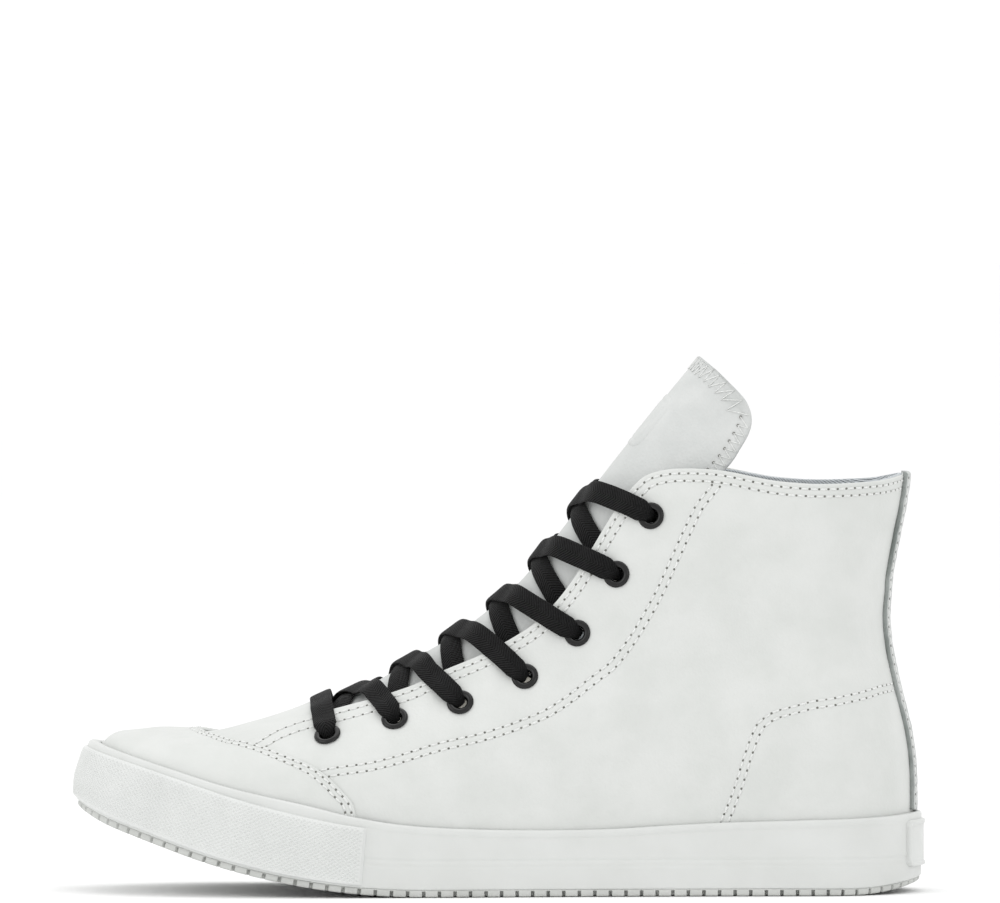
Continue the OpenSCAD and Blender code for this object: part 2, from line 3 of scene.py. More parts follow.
import bmesh
import bpy
import numpy as np
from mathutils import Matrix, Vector


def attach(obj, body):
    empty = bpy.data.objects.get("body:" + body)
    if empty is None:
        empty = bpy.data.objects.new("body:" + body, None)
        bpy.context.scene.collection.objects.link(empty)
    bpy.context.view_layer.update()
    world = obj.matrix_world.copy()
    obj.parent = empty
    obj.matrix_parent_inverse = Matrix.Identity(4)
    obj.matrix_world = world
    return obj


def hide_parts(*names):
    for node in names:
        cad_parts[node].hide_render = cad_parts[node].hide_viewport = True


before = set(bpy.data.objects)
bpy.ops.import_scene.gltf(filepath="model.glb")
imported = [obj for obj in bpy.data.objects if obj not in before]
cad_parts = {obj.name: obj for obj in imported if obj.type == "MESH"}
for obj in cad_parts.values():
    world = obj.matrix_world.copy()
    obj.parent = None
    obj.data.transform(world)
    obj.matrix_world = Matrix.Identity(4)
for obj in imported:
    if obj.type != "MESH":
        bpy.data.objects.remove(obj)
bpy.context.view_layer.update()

# The shoe is drawn in millimetres, in the CAD frame: toe along -X, outer side -Y, sole on Z = 0.
# s runs heelward along a flat sole and n stands up from it; bend() rolls the forefoot up.
MM = 0.001
LATERAL, MEDIAL = -1.0, 1.0
SIDES = ((LATERAL, "lateral"), (MEDIAL, "medial"))

# ---- camera ----
VIEW_WIDTH = 0.350
LENS = 500.0
SENSOR = 36.0
AIM = Vector((0.0004, 0.0, 0.1535))
ELEVATION = math.radians(1.2)
camera_data = bpy.data.cameras.new("camera")
camera_data.lens = LENS
camera_data.sensor_width = SENSOR
camera_data.clip_end = 100
camera = bpy.data.objects.new("camera", camera_data)
bpy.context.scene.collection.objects.link(camera)
away = Vector((0, -math.cos(ELEVATION), math.sin(ELEVATION)))
camera.location = AIM + away * (VIEW_WIDTH * LENS / SENSOR)
camera.rotation_euler = (math.pi / 2 - ELEVATION, 0, 0)
bpy.context.scene.camera = camera

# ---- layers, as offsets from the last ----
LINING_IN = 0.9
VAMP_OUT = 1.9
QUARTER_IN = 2.1
QUARTER_OUT = 3.4
CAP_OUT = 4.6
UNDER_LACE = -1.4
TONGUE_OUT = -2.6
TONGUE_IN = -4.0
LACE_W, LACE_T = 8.0, 1.2
BORE_R, BORE_GAP = 2.3, 0.45
FLANGE_R = 4.7
BOARD_BOTTOM = 9.6
TREAD_T = 2.4
FOOTBED_BOTTOM, FOOTBED_TOP = 12.0, 16.6

# ---- the last, each table read by curve() ----
TIP_S, SPRING_S, SPRING_R = -146.8, -25.0, 260.0
SPRING_A = math.radians(19.5)
TOE_R, HEEL_R, BACK_S = 60.0, 30.0, 141.6
HEEL_CURL, TOE_CURL = 4.5, 2.5
RIDGE = [
    [-146.8, 22.6], [-145.5, 24.2], [-142.4, 26.3], [-135.8, 29.6], [-126, 34.6], [-119, 38.1],
    [-112, 41.8], [-102, 47.4], [-91, 53.2], [-80, 59], [-66, 66.7], [-53, 73.5], [-42, 78.7],
    [-25, 86.8], [-11, 95.8], [5.8, 110.1], [18, 125.3], [33, 145.3], [51, 168], [69, 190],
    [120, 251.5],
]
BACK = [
    [0, 141.6], [36, 141.6], [46, 141.2], [56, 139.8], [66, 137.4], [76, 135], [86, 133],
    [96, 132.1], [104, 132.6], [111, 133.2], [124, 135.6], [135, 137.8], [147, 139.4], [200, 141],
]
MIDDLE = [
    [-147, 5.6], [-120, 4.6], [-90, 2.1], [-60, -0.9], [-30, -2.9], [0, -4.4], [40, -3.9],
    [90, -2.4], [140, -1.4],
]
FOOT_HALF = [
    [-147, 43], [-110, 44.5], [-80, 46], [-60, 46.5], [-30, 43.5], [0, 38.5], [30, 35.5],
    [60, 34], [90, 33.5], [120, 33], [142, 32.5],
]
ANKLE_HALF = [[60, 33], [90, 30], [120, 31.5], [147, 34], [190, 35]]
RIDGE_R = [
    [-147, 0.8], [-145.5, 1], [-142.4, 2.2], [-135.8, 5], [-126, 9.2], [-119, 12.6], [-112, 16],
    [-102, 21.5], [-91, 27.5], [-80, 33], [-66, 40], [-42, 50], [-25, 55], [10, 60], [70, 60],
]
FOXING_TOP = [
    [-154, 25], [-142.8, 25.4], [-110.8, 27], [-76, 28.2], [-50, 26.3], [-39.7, 25.4],
    [-15.5, 23.8], [11.2, 23.1], [38.1, 23.4], [58.1, 24.5], [78.3, 25.5], [105, 26.2],
    [131.8, 27.1], [145.2, 28.4],
]
BUMPER_TOP = [[-154, 22.2], [-118.5, 24.2], [-83.7, 24.5], [-47, 23.3]]
BUMPER_END_S = -48.0

# ---- seams, as [s, n] points on the last or as s over a share of the way down ----
CAP_LINE = [
    [0, -118], [0.18, -114.8], [0.3, -109.2], [0.4, -102.8], [0.445, -98.3], [0.5, -92.2],
    [0.565, -84.5], [0.675, -69.8], [0.77, -59], [0.83, -53.3], [1, -49],
]
VAMP_LINE = [[0, -72], [0.36, -72], [0.75, -72], [0.86, -62], [1, -52]]
THROAT_SHARE, STAY_SHARE, UNDER_CAP = 0.46, 0.36, 5.0
THROAT_EDGE = [
    [-91.5, 48.2], [-84.9, 52.2], [-77.4, 55.6], [-65.4, 59.8], [-55.8, 63], [-40, 67.8],
    [-28, 71.5], [-16.7, 76.4], [-4.7, 81.6], [4.9, 86.8], [14, 92.8], [21, 99.8], [27.5, 108.2],
    [33.5, 118], [39, 127.2], [43.5, 134.2], [48.2, 140.2], [52.7, 144.3],
]
COLLAR_EDGE = [
    [58.7, 146.4], [65.5, 147.2], [75, 147.2], [82, 146.4], [90, 144.9], [98, 143.7], [111, 143],
    [122, 143.3], [131, 144], [136.5, 145.2], [139.2, 146],
]
TOP_EDGE = THROAT_EDGE + COLLAR_EDGE
STAY_EDGE = [
    [-68, 36.5], [-46.5, 40.8], [-32, 44.4], [-17.5, 48.2], [-5.2, 51.3], [7.3, 55.3],
    [18.3, 59.9], [27.2, 65.6], [35.9, 72.2], [42.8, 78.6], [48.5, 85.9], [53.4, 93.7],
    [59, 103.6], [64.7, 115.5], [70, 127], [75.5, 138], [82, 146.4],
]
STAY_SEAM = [
    [-79.5, 35.2], [-73.4, 37.6], [-62.4, 41.2], [-47.6, 44.5], [-33.3, 48.3], [-18.5, 52.3],
    [-6.5, 55.1], [5.9, 59], [16.3, 63.3], [24.6, 68.6], [32.9, 75.3], [39.3, 80.5],
    [44.9, 87.5], [49.7, 95], [55.4, 105.2], [61.1, 117.3], [65.9, 127.6], [69.7, 135],
    [72.7, 138.8], [76, 143],
]
PATCH_SEAM = [
    [76.6, 22], [77.3, 26.2], [78.8, 29.6], [82.1, 38.3], [84.8, 47], [87.1, 53.7], [89.5, 59.1],
    [92.2, 61.7], [96.2, 64], [102.9, 65.8], [109.3, 67.5], [115.2, 68.4], [124.9, 70.5],
    [130.2, 72.1], [134.6, 72.8],
]
EYELET_AT = [
    [-73.9, 0.642], [-46.8, 0.774], [-24.4, 0.883], [-7.7, 0.966], [6.5, 0.976], [19.7, 0.941],
    [33.9, 0.9],
]
STRIP_DEPTH, STRIP_BOTTOM, STRIP_TOP, STRIP_T = 1.3, 28.6, 146.6, 1.5
TONGUE_BASE, TONGUE_TOP = -84.0, 68.0
TONGUE_DEPTH = [
    [-84, 9], [-60, 13], [-25, 20], [10, 25.5], [40, 31.5], [54, 32.8], [58.3, 32], [62, 30.8],
    [64.6, 28.4], [66.4, 24.4], [67.3, 19.6], [68, 8],
]
TAIL_ROUTE = [[54.2, 130.4], [60, 112], [70, 92], [82, 77], [94, 71]]
AGLET_END, AGLET_R = [113, 62], 1.6
BELLY_SHAPE = [[2.4, 0], [12, 0.9], [20, 1], [26, 0.7]]


# ---- numbers ----
def clamp(x):
    return np.clip(x, 0.0, 1.0)


def smooth(t):
    u = clamp(t)
    return u * u * (3 - 2 * u)


def mix(a, b, t):
    return a * (1 - t) + b * t


def unit(v):
    return v / np.linalg.norm(v, axis=-1, keepdims=True)


def shares(count):
    return np.linspace(0, 1, count)


def rounded(t):
    return np.sqrt(np.maximum(0, 1 - (1 - clamp(t)) ** 2))


def fall(t):
    """From 1 at an edge to 0 at t = 1, along a quarter circle."""
    return 1 - rounded(t)


def square_to(v, run):
    """The part of v at right angles to the unit vectors run."""
    return v - run * (v * run).sum(-1, keepdims=True)


def heading(points):
    return unit(np.gradient(points, axis=0))


def side_at(x):
    return np.where(np.asarray(x) < 0, LATERAL, MEDIAL)


def together(*values):
    return np.broadcast_arrays(*[np.asarray(a, float) for a in values])


def curve(table, x):
    """Smooth value of a [x, value] table, held at its ends."""
    xs, ys = np.array(table, float).T
    x = np.asarray(x, float)
    i = np.clip(np.searchsorted(xs, x, side="right") - 1, 0, len(xs) - 2)
    before = np.maximum(np.arange(len(xs)) - 1, 0)
    after = np.minimum(np.arange(len(xs)) + 1, len(xs) - 1)
    slope = (ys[after] - ys[before]) / (xs[after] - xs[before])
    h = xs[i + 1] - xs[i]
    u = clamp((x - xs[i]) / h)
    return (
        (1 + 2 * u) * (1 - u) ** 2 * ys[i] + u * (1 - u) ** 2 * h * slope[i]
        + u * u * (3 - 2 * u) * ys[i + 1] + u * u * (u - 1) * h * slope[i + 1]
    )


def along(points, t):
    """Smooth point at share t along a list of points."""
    p = np.array(points, float)
    x = clamp(np.asarray(t, float)) * (len(p) - 1)
    i = np.minimum(np.floor(x).astype(int), len(p) - 2)
    u = (x - i)[..., None]
    p0, p1, p2 = p[np.maximum(i - 1, 0)], p[i], p[i + 1]
    p3 = p[np.minimum(i + 2, len(p) - 1)]
    return 0.5 * (
        2 * p1 + (p2 - p0) * u + (2 * p0 - 5 * p1 + 4 * p2 - p3) * u * u
        + (3 * p1 - p0 - 3 * p2 + p3) * u * u * u
    )


def ripple(x, y, seed, size):
    """Gentle unevenness between -1 and 1, with waves about size long."""
    draw = np.random.default_rng(seed)
    total = 0.0
    for _ in range(7):
        angle, phase = draw.uniform(0, math.tau, 2)
        k = math.tau / (size * draw.uniform(0.7, 1.6))
        total = total + np.sin(k * (x * math.cos(angle) + y * math.sin(angle)) + phase)
    return total / 4


# ---- the last ----
def bend(s, y, n):
    turn = np.clip((SPRING_S - s) / SPRING_R, 0, SPRING_A)
    rest = np.maximum(SPRING_S - SPRING_R * SPRING_A - s, 0)
    r = SPRING_R - n
    ahead = s < SPRING_S
    x = np.where(ahead, SPRING_S - r * np.sin(turn) - rest * math.cos(SPRING_A), s)
    z = np.where(ahead, SPRING_R - r * np.cos(turn) + rest * math.sin(SPRING_A), n)
    return np.stack(np.broadcast_arrays(x, y, z), -1)


def half_width(s, n):
    return mix(curve(FOOT_HALF, s), curve(ANKLE_HALF, n), smooth((n - 35) / 50))


def ridge_slope(s):
    return curve(RIDGE, s + 0.5) - curve(RIDGE, s - 0.5)


def on_last(s, n, d, side):
    """A point of the layer d outside the last, seen from the side at [s, n]."""
    s, n, d, side = together(s, n, d, side)
    steep = np.arctan(ridge_slope(s))
    r = clamp((curve(RIDGE, s) - n) * np.cos(steep) / curve(RIDGE_R, s))
    b = clamp((curve(BACK, n) - s) / HEEL_R)
    t = clamp((s - TIP_S) / TOE_R)
    y = (half_width(s, n) + d) * rounded(r) * rounded(b) * rounded(t)
    forward = (1 - r) * np.sin(steep) * smooth((s - TIP_S) / 8)
    return bend(
        s + d * (t - b - forward), curve(MIDDLE, s) + side * y,
        n + d * (1 - r) * np.cos(steep),
    )


def on_sole(s, n, d, side):
    """The same for the sole unit, whose walls stand straight up."""
    s, n, d, side = together(s, n, d, side)
    b = clamp((BACK_S - s) / HEEL_R)
    t = clamp((s - TIP_S) / TOE_R)
    out = s + d * (t - b)
    curl = HEEL_CURL * clamp((out - 122) / 27) ** 2 + TOE_CURL * clamp((-136 - out) / 18) ** 2
    y = (curve(FOOT_HALF, s) + d) * rounded(b) * rounded(t)
    return bend(out, curve(MIDDLE, s) + side * y, n + curl * clamp(1 - n / BOARD_BOTTOM))


REACH = 32.0


def over_instep(s, w, d):
    """A point over the instep: s along the top line, w across it from the outer side (-)."""
    steep = np.arctan(ridge_slope(s))
    deep = REACH * w * w
    return on_last(
        s + deep * np.sin(steep), curve(RIDGE, s) - deep * np.cos(steep), d,
        side_at(w),
    )


def instep_normal(s, w, d):
    return unit(np.cross(
        over_instep(s + 0.5, w, d) - over_instep(s - 0.5, w, d),
        over_instep(s, w + 0.01, d) - over_instep(s, w - 0.01, d),
    ))


def normal_at(s, n, d, side):
    p = on_last(s, n, d, side)
    return np.asarray(side, float)[..., None] * unit(np.cross(
        on_last(s, n + 0.5, d, side) - p, on_last(s + 0.5, n, d, side) - p))


# ---- meshes ----
class Bag:
    """Collects parts of one mesh; extra is a cloth coordinate for each point."""

    def __init__(self):
        self.points, self.faces, self.extra, self.total = [], [], [], 0

    def add(self, points, faces, extra=None):
        points = points.reshape(-1, 3)
        self.points.append(points)
        self.faces.append(np.asarray(faces) + self.total)
        self.extra.append(np.zeros_like(points) if extra is None else extra.reshape(-1, 3))
        self.total += len(points)

    def mesh(self):
        return np.concatenate(self.points), np.concatenate(self.faces)

    def cloth(self):
        return np.concatenate(self.extra)


def put(obj):
    bpy.context.scene.collection.objects.link(obj)


def piece(name, points_faces, material, body="shoe", stands_for=(), weld=0.0, extra=None,
          second=None, second_faces=None):
    points, faces = points_faces
    mesh = bpy.data.meshes.new(name)
    mesh.from_pydata((np.asarray(points) * MM).tolist(), [], np.asarray(faces).tolist())
    if extra is not None:
        cloth = mesh.attributes.new("cloth", "FLOAT_VECTOR", "POINT")
        cloth.data.foreach_set("vector", np.asarray(extra, np.float32).ravel())
    mesh.materials.append(material)
    if second is not None:
        mesh.materials.append(second)
        mesh.polygons.foreach_set("material_index", np.asarray(second_faces, np.int32))
    bm = bmesh.new()
    bm.from_mesh(mesh)
    if weld:
        bmesh.ops.remove_doubles(bm, verts=bm.verts, dist=weld * MM)
    loose = [v for v in bm.verts if not v.link_faces]
    bmesh.ops.delete(bm, geom=loose, context="VERTS")
    bmesh.ops.recalc_face_normals(bm, faces=bm.faces)
    bm.to_mesh(mesh)
    bm.free()
    mesh.shade_smooth()
    obj = bpy.data.objects.new(name, mesh)
    put(obj)
    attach(obj, body)
    if stands_for:
        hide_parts(*stands_for)
    return obj


def closed_sheet(outer, inner, keep=None, zip_first=False, wrap=False):
    """Two grids of points joined round their edges, and round any quads left out."""
    rows, cols = outer.shape[:2]
    ids = np.arange(rows * cols).reshape(rows, cols)
    keep = np.ones((rows - 1, cols - 1), bool) if keep is None else keep
    quads = np.stack([ids[:-1, :-1], ids[1:, :-1], ids[1:, 1:], ids[:-1, 1:]], -1)[keep]
    count = rows * cols
    padded = np.pad(keep, 1)
    level = padded[:-1, 1:-1] != padded[1:, 1:-1]
    upright = padded[1:-1, :-1] != padded[1:-1, 1:]
    if zip_first:
        level[0] = False
    if wrap:
        upright[:, 0] = upright[:, -1] = False
    a, b = ids[:, :-1][level], ids[:, 1:][level]
    c, d = ids[:-1][upright], ids[1:][upright]
    faces = np.concatenate([
        quads, quads[:, ::-1] + count, np.stack([a, b, b + count, a + count], -1),
        np.stack([c, d, d + count, c + count], -1),
    ])
    return np.concatenate([outer.reshape(-1, 3), inner.reshape(-1, 3)]), faces


def tube_faces(rings, sides):
    """Quads of a tube with both ends closed; sides is even."""
    i, j = np.meshgrid(np.arange(rings - 1), np.arange(sides), indexing="ij")
    k = (j + 1) % sides
    walls = np.stack([i * sides + j, i * sides + k, (i + 1) * sides + k, (i + 1) * sides + j], -1)
    m = np.arange(sides // 2 - 1)
    cap = np.stack([m, m + 1, sides - 2 - m, sides - 1 - m], -1)
    return np.concatenate([walls.reshape(-1, 4), cap, cap + (rings - 1) * sides])


def lengths(points):
    steps = np.linalg.norm(np.diff(points, axis=0), axis=-1)
    return np.concatenate([[0], np.cumsum(steps)])


def read(at, run, rows):
    """Rows of values at each place of at, where run is the place of each given row."""
    return np.stack([np.interp(at, run, rows[:, k]) for k in range(rows.shape[1])], -1)


def resample(points, at, *others):
    """Points, and anything that goes with them, at distances along a polyline."""
    run = lengths(points)
    return [read(at, run, rows) for rows in (points, *others)]


def nearest(points, line):
    """Distance of each flat point to a finely stepped flat line."""
    flat = points.reshape(-1, 2)
    best = np.full(len(flat), 1e9)
    for start in range(0, len(flat), 4000):
        part = flat[start:start + 4000, None, :] - line[None]
        best[start:start + 4000] = np.sqrt((part ** 2).sum(-1).min(-1))
    return best.reshape(points.shape[:-1])


def fine(points, count=300):
    return along(points, shares(count))


def offset_line(line, distance):
    """A flat line moved sideways; positive is to the right of its run."""
    run = heading(line)
    return line + distance * np.stack([run[:, 1], -run[:, 0]], -1)


def ribbon(bag, points, across, width, thick, sides=20, flat=0.4):
    """A strap with rounded edges; across points from its middle to an edge."""
    run = heading(points)
    across = unit(square_to(across, run))
    up = np.cross(run, across)
    angle = math.tau * (np.arange(sides) + 0.5) / sides
    x = np.sign(np.cos(angle)) * np.abs(np.cos(angle)) ** flat
    y = np.sign(np.sin(angle)) * np.abs(np.sin(angle)) ** 0.8
    width, thick = np.broadcast_to(width, len(points)), np.broadcast_to(thick, len(points))
    wide = x[None] * width[:, None] / 2
    high = y[None] * thick[:, None] / 2
    p = points[:, None] + across[:, None] * wide[..., None] + up[:, None] * high[..., None]
    far = np.broadcast_to(lengths(points)[:, None], wide.shape)
    spread = np.broadcast_to(x[None] * LACE_W / 2, wide.shape)
    bag.add(p, tube_faces(len(points), sides), np.stack([far, spread, high], -1))


def thread(bag, points, normals, radius, sides=6):
    ribbon(bag, points, np.cross(normals, heading(points)), 2 * radius,
           2 * radius * 0.85, sides, 1.0)


def pods(bag, centres, runs, normals, size):
    """Rounded grains: size is [half length, half width, half height]."""
    x = np.array([-1, -0.85, -0.4, 0.4, 0.85, 1])
    r = np.array([0.3, 0.75, 1, 1, 0.75, 0.3])
    angle = math.tau * np.arange(6) / 6
    sag = -0.9 * x ** 4
    side = np.cross(normals, runs)
    ring = np.stack([
        np.repeat(x[:, None], 6, 1) * size[0], r[:, None] * np.cos(angle) * size[1],
        (r[:, None] * np.sin(angle) + sag[:, None]) * size[2],
    ], -1)
    p = (centres[:, None, None] + runs[:, None, None] * ring[..., 0:1]
         + side[:, None, None] * ring[..., 1:2] + normals[:, None, None] * ring[..., 2:3])
    faces = tube_faces(6, 6)
    all_faces = (faces[None] + 36 * np.arange(len(centres))[:, None, None]).reshape(-1, 4)
    bag.add(p, all_faces)


PITCH = 3.3
THREAD_LIFT, THREAD_SIZE = 0.16, (PITCH / 2 - 0.3, 0.42, 0.36)
HOLE_LIFT, HOLE_SIZE = 0.07, (0.45, 0.4, 0.14)


def stitch_row(threads, holes, points, normals, start=0.0):
    """A row of lockstitches with a needle hole between each two; each hole is a dark raised grain,
    painted shade in the hole.
    """
    total = lengths(points)[-1]
    count = int((total - start) / PITCH)
    at = start + PITCH * np.arange(count + 1)
    hole, hole_n = resample(points, at, normals)
    mid, mid_n = resample(points, (at[:-1] + at[1:]) / 2, normals)
    run = unit(hole[1:] - hole[:-1])
    mid_n = unit(square_to(mid_n, run))
    pods(threads, mid + THREAD_LIFT * mid_n, run, mid_n, THREAD_SIZE)
    hole_run = heading(hole)
    hole_n = unit(square_to(hole_n, hole_run))
    pods(holes, hole + HOLE_LIFT * hole_n, hole_run, hole_n, HOLE_SIZE)


# ---- materials ----
def shader(name, color, roughness, **sockets):
    mat = bpy.data.materials.new(name)
    mat.use_nodes = True
    sockets.update(Base_Color=(*color, 1), Roughness=roughness)
    for key, value in sockets.items():
        sockets_of(mat)[key.replace("_", " ")].default_value = value
    return mat


def sockets_of(mat):
    return mat.node_tree.nodes["Principled BSDF"].inputs


def node(mat, kind, **settings):
    n = mat.node_tree.nodes.new("ShaderNode" + kind)
    for key, value in settings.items():
        if key in n.inputs:
            n.inputs[key].default_value = value
        else:
            setattr(n, key, value)
    return n


def link(mat, a, b):
    mat.node_tree.links.new(a, b)


def place(mat, cloth=False):
    """Where on the object a texture is read: metres on the object, or millimetres of cloth."""
    if cloth:
        return node(mat, "Attribute", attribute_name="cloth").outputs["Vector"]
    return node(mat, "TexCoord").outputs["Object"]


def noise(mat, scale, detail=4.0, roughness=0.55):
    n = node(mat, "TexNoise", Scale=scale, Detail=detail, Roughness=roughness)
    link(mat, place(mat), n.inputs["Vector"])
    return n.outputs["Fac"]


def cells(mat, scale, feature="F1"):
    n = node(mat, "TexVoronoi", Scale=scale, feature=feature)
    link(mat, place(mat), n.inputs["Vector"])
    return n.outputs["Distance"]


def math_node(mat, operation, a, b=None):
    n = node(mat, "Math", operation=operation)
    for socket, value in zip(n.inputs, (a, b)):
        if value is None:
            continue
        if isinstance(value, (int, float)):
            socket.default_value = value
        else:
            link(mat, value, socket)
    return n.outputs[0]


def bump(mat, height, depth):
    """Adds relief, depth in metres, on top of any relief already there."""
    normal = sockets_of(mat)["Normal"]
    n = node(mat, "Bump", Distance=depth, Strength=1.0)
    if normal.is_linked:
        link(mat, normal.links[0].from_socket, n.inputs["Normal"])
    link(mat, height, n.inputs["Height"])
    link(mat, n.outputs["Normal"], normal)


def tint(mat, factor, low, high, colors):
    """Base colour between two colours as the factor goes from low to high."""
    ramp = node(mat, "ValToRGB")
    for stop, at, color in zip(ramp.color_ramp.elements, (low, high), colors):
        stop.position = at
        stop.color = (*color, 1)
    link(mat, factor, ramp.inputs["Fac"])
    link(mat, ramp.outputs["Color"], sockets_of(mat)["Base Color"])


def vary_roughness(mat, factor, low, high):
    n = node(mat, "MapRange", **{"From Min": 0.3, "From Max": 0.7, "To Min": low, "To Max": high})
    link(mat, factor, n.inputs["Value"])
    link(mat, n.outputs["Result"], sockets_of(mat)["Roughness"])


def leather_look(name, dark, light, grain=1.0, roughness=0.5):
    mat = shader(name, light, roughness, Specular_IOR_Level=0.35)
    tint(mat, noise(mat, 60, 5), 0.35, 0.65, (dark, light))
    bump(mat, noise(mat, 260, 3), 0.00006 * grain)
    bump(mat, cells(mat, 900), 0.00004 * grain)
    vary_roughness(mat, noise(mat, 140), roughness - 0.07, roughness + 0.08)
    return mat


def rubber_look(name, dark, light, roughness=0.5, speck=0.00002):
    mat = shader(name, light, roughness, Specular_IOR_Level=0.4)
    tint(mat, noise(mat, 45, 4), 0.35, 0.65, (dark, light))
    bump(mat, noise(mat, 1500, 3), speck)
    bump(mat, noise(mat, 90, 2), 0.00008)
    vary_roughness(mat, noise(mat, 120), roughness - 0.06, roughness + 0.08)
    return mat


def ribs(mat, waves, share, sheen_and_fleck, tones, colors, relief, fuzz):
    """Two sets of ribs that cross; each wave is a distance and its wave number. The base colour is
    lighter on the rib crests and darker in the grooves, a painted sheen and painted shade, with
    random flecks added.
    """
    first, second = [
        math_node(mat, "SINE", math_node(mat, "MULTIPLY", far, k)) for far, k in waves]
    height = math_node(mat, "ADD", first, math_node(mat, "MULTIPLY", second, share))
    # painted sheen and shade: the rib height lightens the colour on the crests and darkens it in
    # the grooves, plus random flecks
    sheen_and_fleck_tone = math_node(
        mat, "ADD", math_node(mat, "MULTIPLY", height, sheen_and_fleck[0]), noise(mat, sheen_and_fleck[1]))
    tint(mat, sheen_and_fleck_tone, *tones, colors)
    bump(mat, height, relief)
    bump(mat, noise(mat, fuzz[0], 3), fuzz[1])
    return mat


def split_place(mat, cloth=False):
    split = node(mat, "SeparateXYZ")
    link(mat, place(mat, cloth), split.inputs[0])
    return split.outputs


def weave_look(name, dark, light, pitch, depth):
    """Twill: fine diagonal ribs crossed by their threads, on the object's own coordinates."""
    mat = shader(name, light, 0.85, Specular_IOR_Level=0.2, Sheen_Weight=0.2, Sheen_Roughness=0.5)
    x, y, z = split_place(mat)
    k = math.tau / pitch
    run = math_node(mat, "ADD", x, y)
    waves = (math_node(mat, "ADD", run, z), k), (math_node(mat, "SUBTRACT", run, z), k * 1.6)
    # the lighter cloth colour lands on the rib crests as a painted sheen
    return ribs(mat, waves, 0.5, (0.2, 500), (0.3, 0.8), (dark, light), depth, (2200, depth * 0.5))


def braid_look(name):
    """The lace: two bands of slanting ribs that meet in a V, on cloth coordinates."""
    mat = shader(name, (0.006, 0.006, 0.006), 0.62, Specular_IOR_Level=0.16, Sheen_Weight=0.02,
                 Sheen_Roughness=0.45)
    x, y, _ = split_place(mat, cloth=True)
    spread = math_node(mat, "ABSOLUTE", y)
    slant = math_node(mat, "ADD", x, math_node(mat, "MULTIPLY", spread, 0.85))
    counter = math_node(mat, "SUBTRACT", spread, math_node(mat, "MULTIPLY", x, 0.5))
    waves = (slant, math.tau / 1.15), (counter, math.tau / 0.55)
    # the lighter lace colour lands on the rib crests as a painted sheen
    return ribs(mat, waves, 0.35, (0.25, 700), (0.2, 0.9),
                ((0.0008, 0.0008, 0.0008), (0.012, 0.012, 0.0125)), 0.0003, (3000, 0.00008))


leather = leather_look("leather_white", (0.60, 0.615, 0.595), (0.64, 0.652, 0.635))
tongue_leather = leather_look(
    "leather_tongue", (0.53, 0.545, 0.535), (0.59, 0.602, 0.592), 2.2, 0.65)
suede_edge = leather_look(
    "leather_tongue_edge", (0.50, 0.515, 0.505), (0.62, 0.63, 0.622), 5.0, 0.85)
# painted shade: the back strip's white leather is coloured grey for the shade where it turns away
# round the back of the heel
strip_leather_shaded = leather_look("leather_strip_shaded", (0.40, 0.42, 0.41), (0.56, 0.575, 0.565), 3.0, 0.75)
# painted shadow: a dark colour for the strip's edges, standing for the shadow along its raised
# edges
strip_edge_shadow = leather_look("leather_strip_edge_shadow", (0.19, 0.21, 0.20), (0.34, 0.36, 0.35), 4.0, 0.85)
foxing_rubber = rubber_look("rubber_foxing", (0.61, 0.622, 0.605), (0.64, 0.652, 0.638), 0.42)
bumper_rubber = rubber_look("rubber_bumper", (0.64, 0.652, 0.64), (0.68, 0.692, 0.68), 0.4)
label_rubber = rubber_look("rubber_label", (0.61, 0.622, 0.605), (0.64, 0.652, 0.638), 0.4)
outsole_rubber = rubber_look("rubber_outsole", (0.50, 0.51, 0.49), (0.57, 0.58, 0.56), 0.6, 0.00005)
filler_rubber = rubber_look("rubber_filler", (0.46, 0.46, 0.43), (0.54, 0.54, 0.51), 0.85, 0.0001)
stiffener = rubber_look("stiffener", (0.45, 0.38, 0.26), (0.52, 0.45, 0.32), 0.7, 0.00006)
board = leather_look("fibre_board", (0.30, 0.21, 0.12), (0.42, 0.31, 0.19), 3.0, 0.9)
lining_cloth = weave_look(
    "cloth_lining", (0.60, 0.64, 0.665), (0.74, 0.775, 0.795), 0.0011, 0.00012)
stay_cloth = weave_look("cloth_stay", (0.52, 0.50, 0.44), (0.66, 0.64, 0.58), 0.0009, 0.0001)
footbed_cloth = weave_look(
    "cloth_footbed", (0.018, 0.02, 0.024), (0.05, 0.055, 0.062), 0.0014, 0.00014)
lace_cloth = braid_look("cloth_lace")
enamel = shader("enamel_black", (0.003, 0.003, 0.003), 0.2, Specular_IOR_Level=0.12,
                Coat_Weight=0.5, Coat_Roughness=0.03)
bump(enamel, noise(enamel, 400, 2), 0.00003)
vary_roughness(enamel, noise(enamel, 300), 0.14, 0.26)
aglet_plastic = shader("plastic_black", (0.01, 0.01, 0.01), 0.25, Coat_Weight=0.4)
bump(aglet_plastic, noise(aglet_plastic, 500, 2), 0.00003)
vary_roughness(aglet_plastic, noise(aglet_plastic, 250), 0.2, 0.35)
thread_white = shader("thread_white", (0.74, 0.75, 0.74), 0.6, Sheen_Weight=0.2)
tint(thread_white, noise(thread_white, 1500), 0.3, 0.7, ((0.62, 0.63, 0.61), (0.78, 0.79, 0.78)))
bump(thread_white, noise(thread_white, 4000, 2), 0.00008)
# painted shade: the dark grains at the needle holes stand for the shade inside each hole
needle_hole_shade = shader("needle_hole_shade", (0.16, 0.16, 0.15), 0.9)
tint(needle_hole_shade, noise(needle_hole_shade, 700), 0.3, 0.7, ((0.10, 0.10, 0.09), (0.24, 0.24, 0.22)))

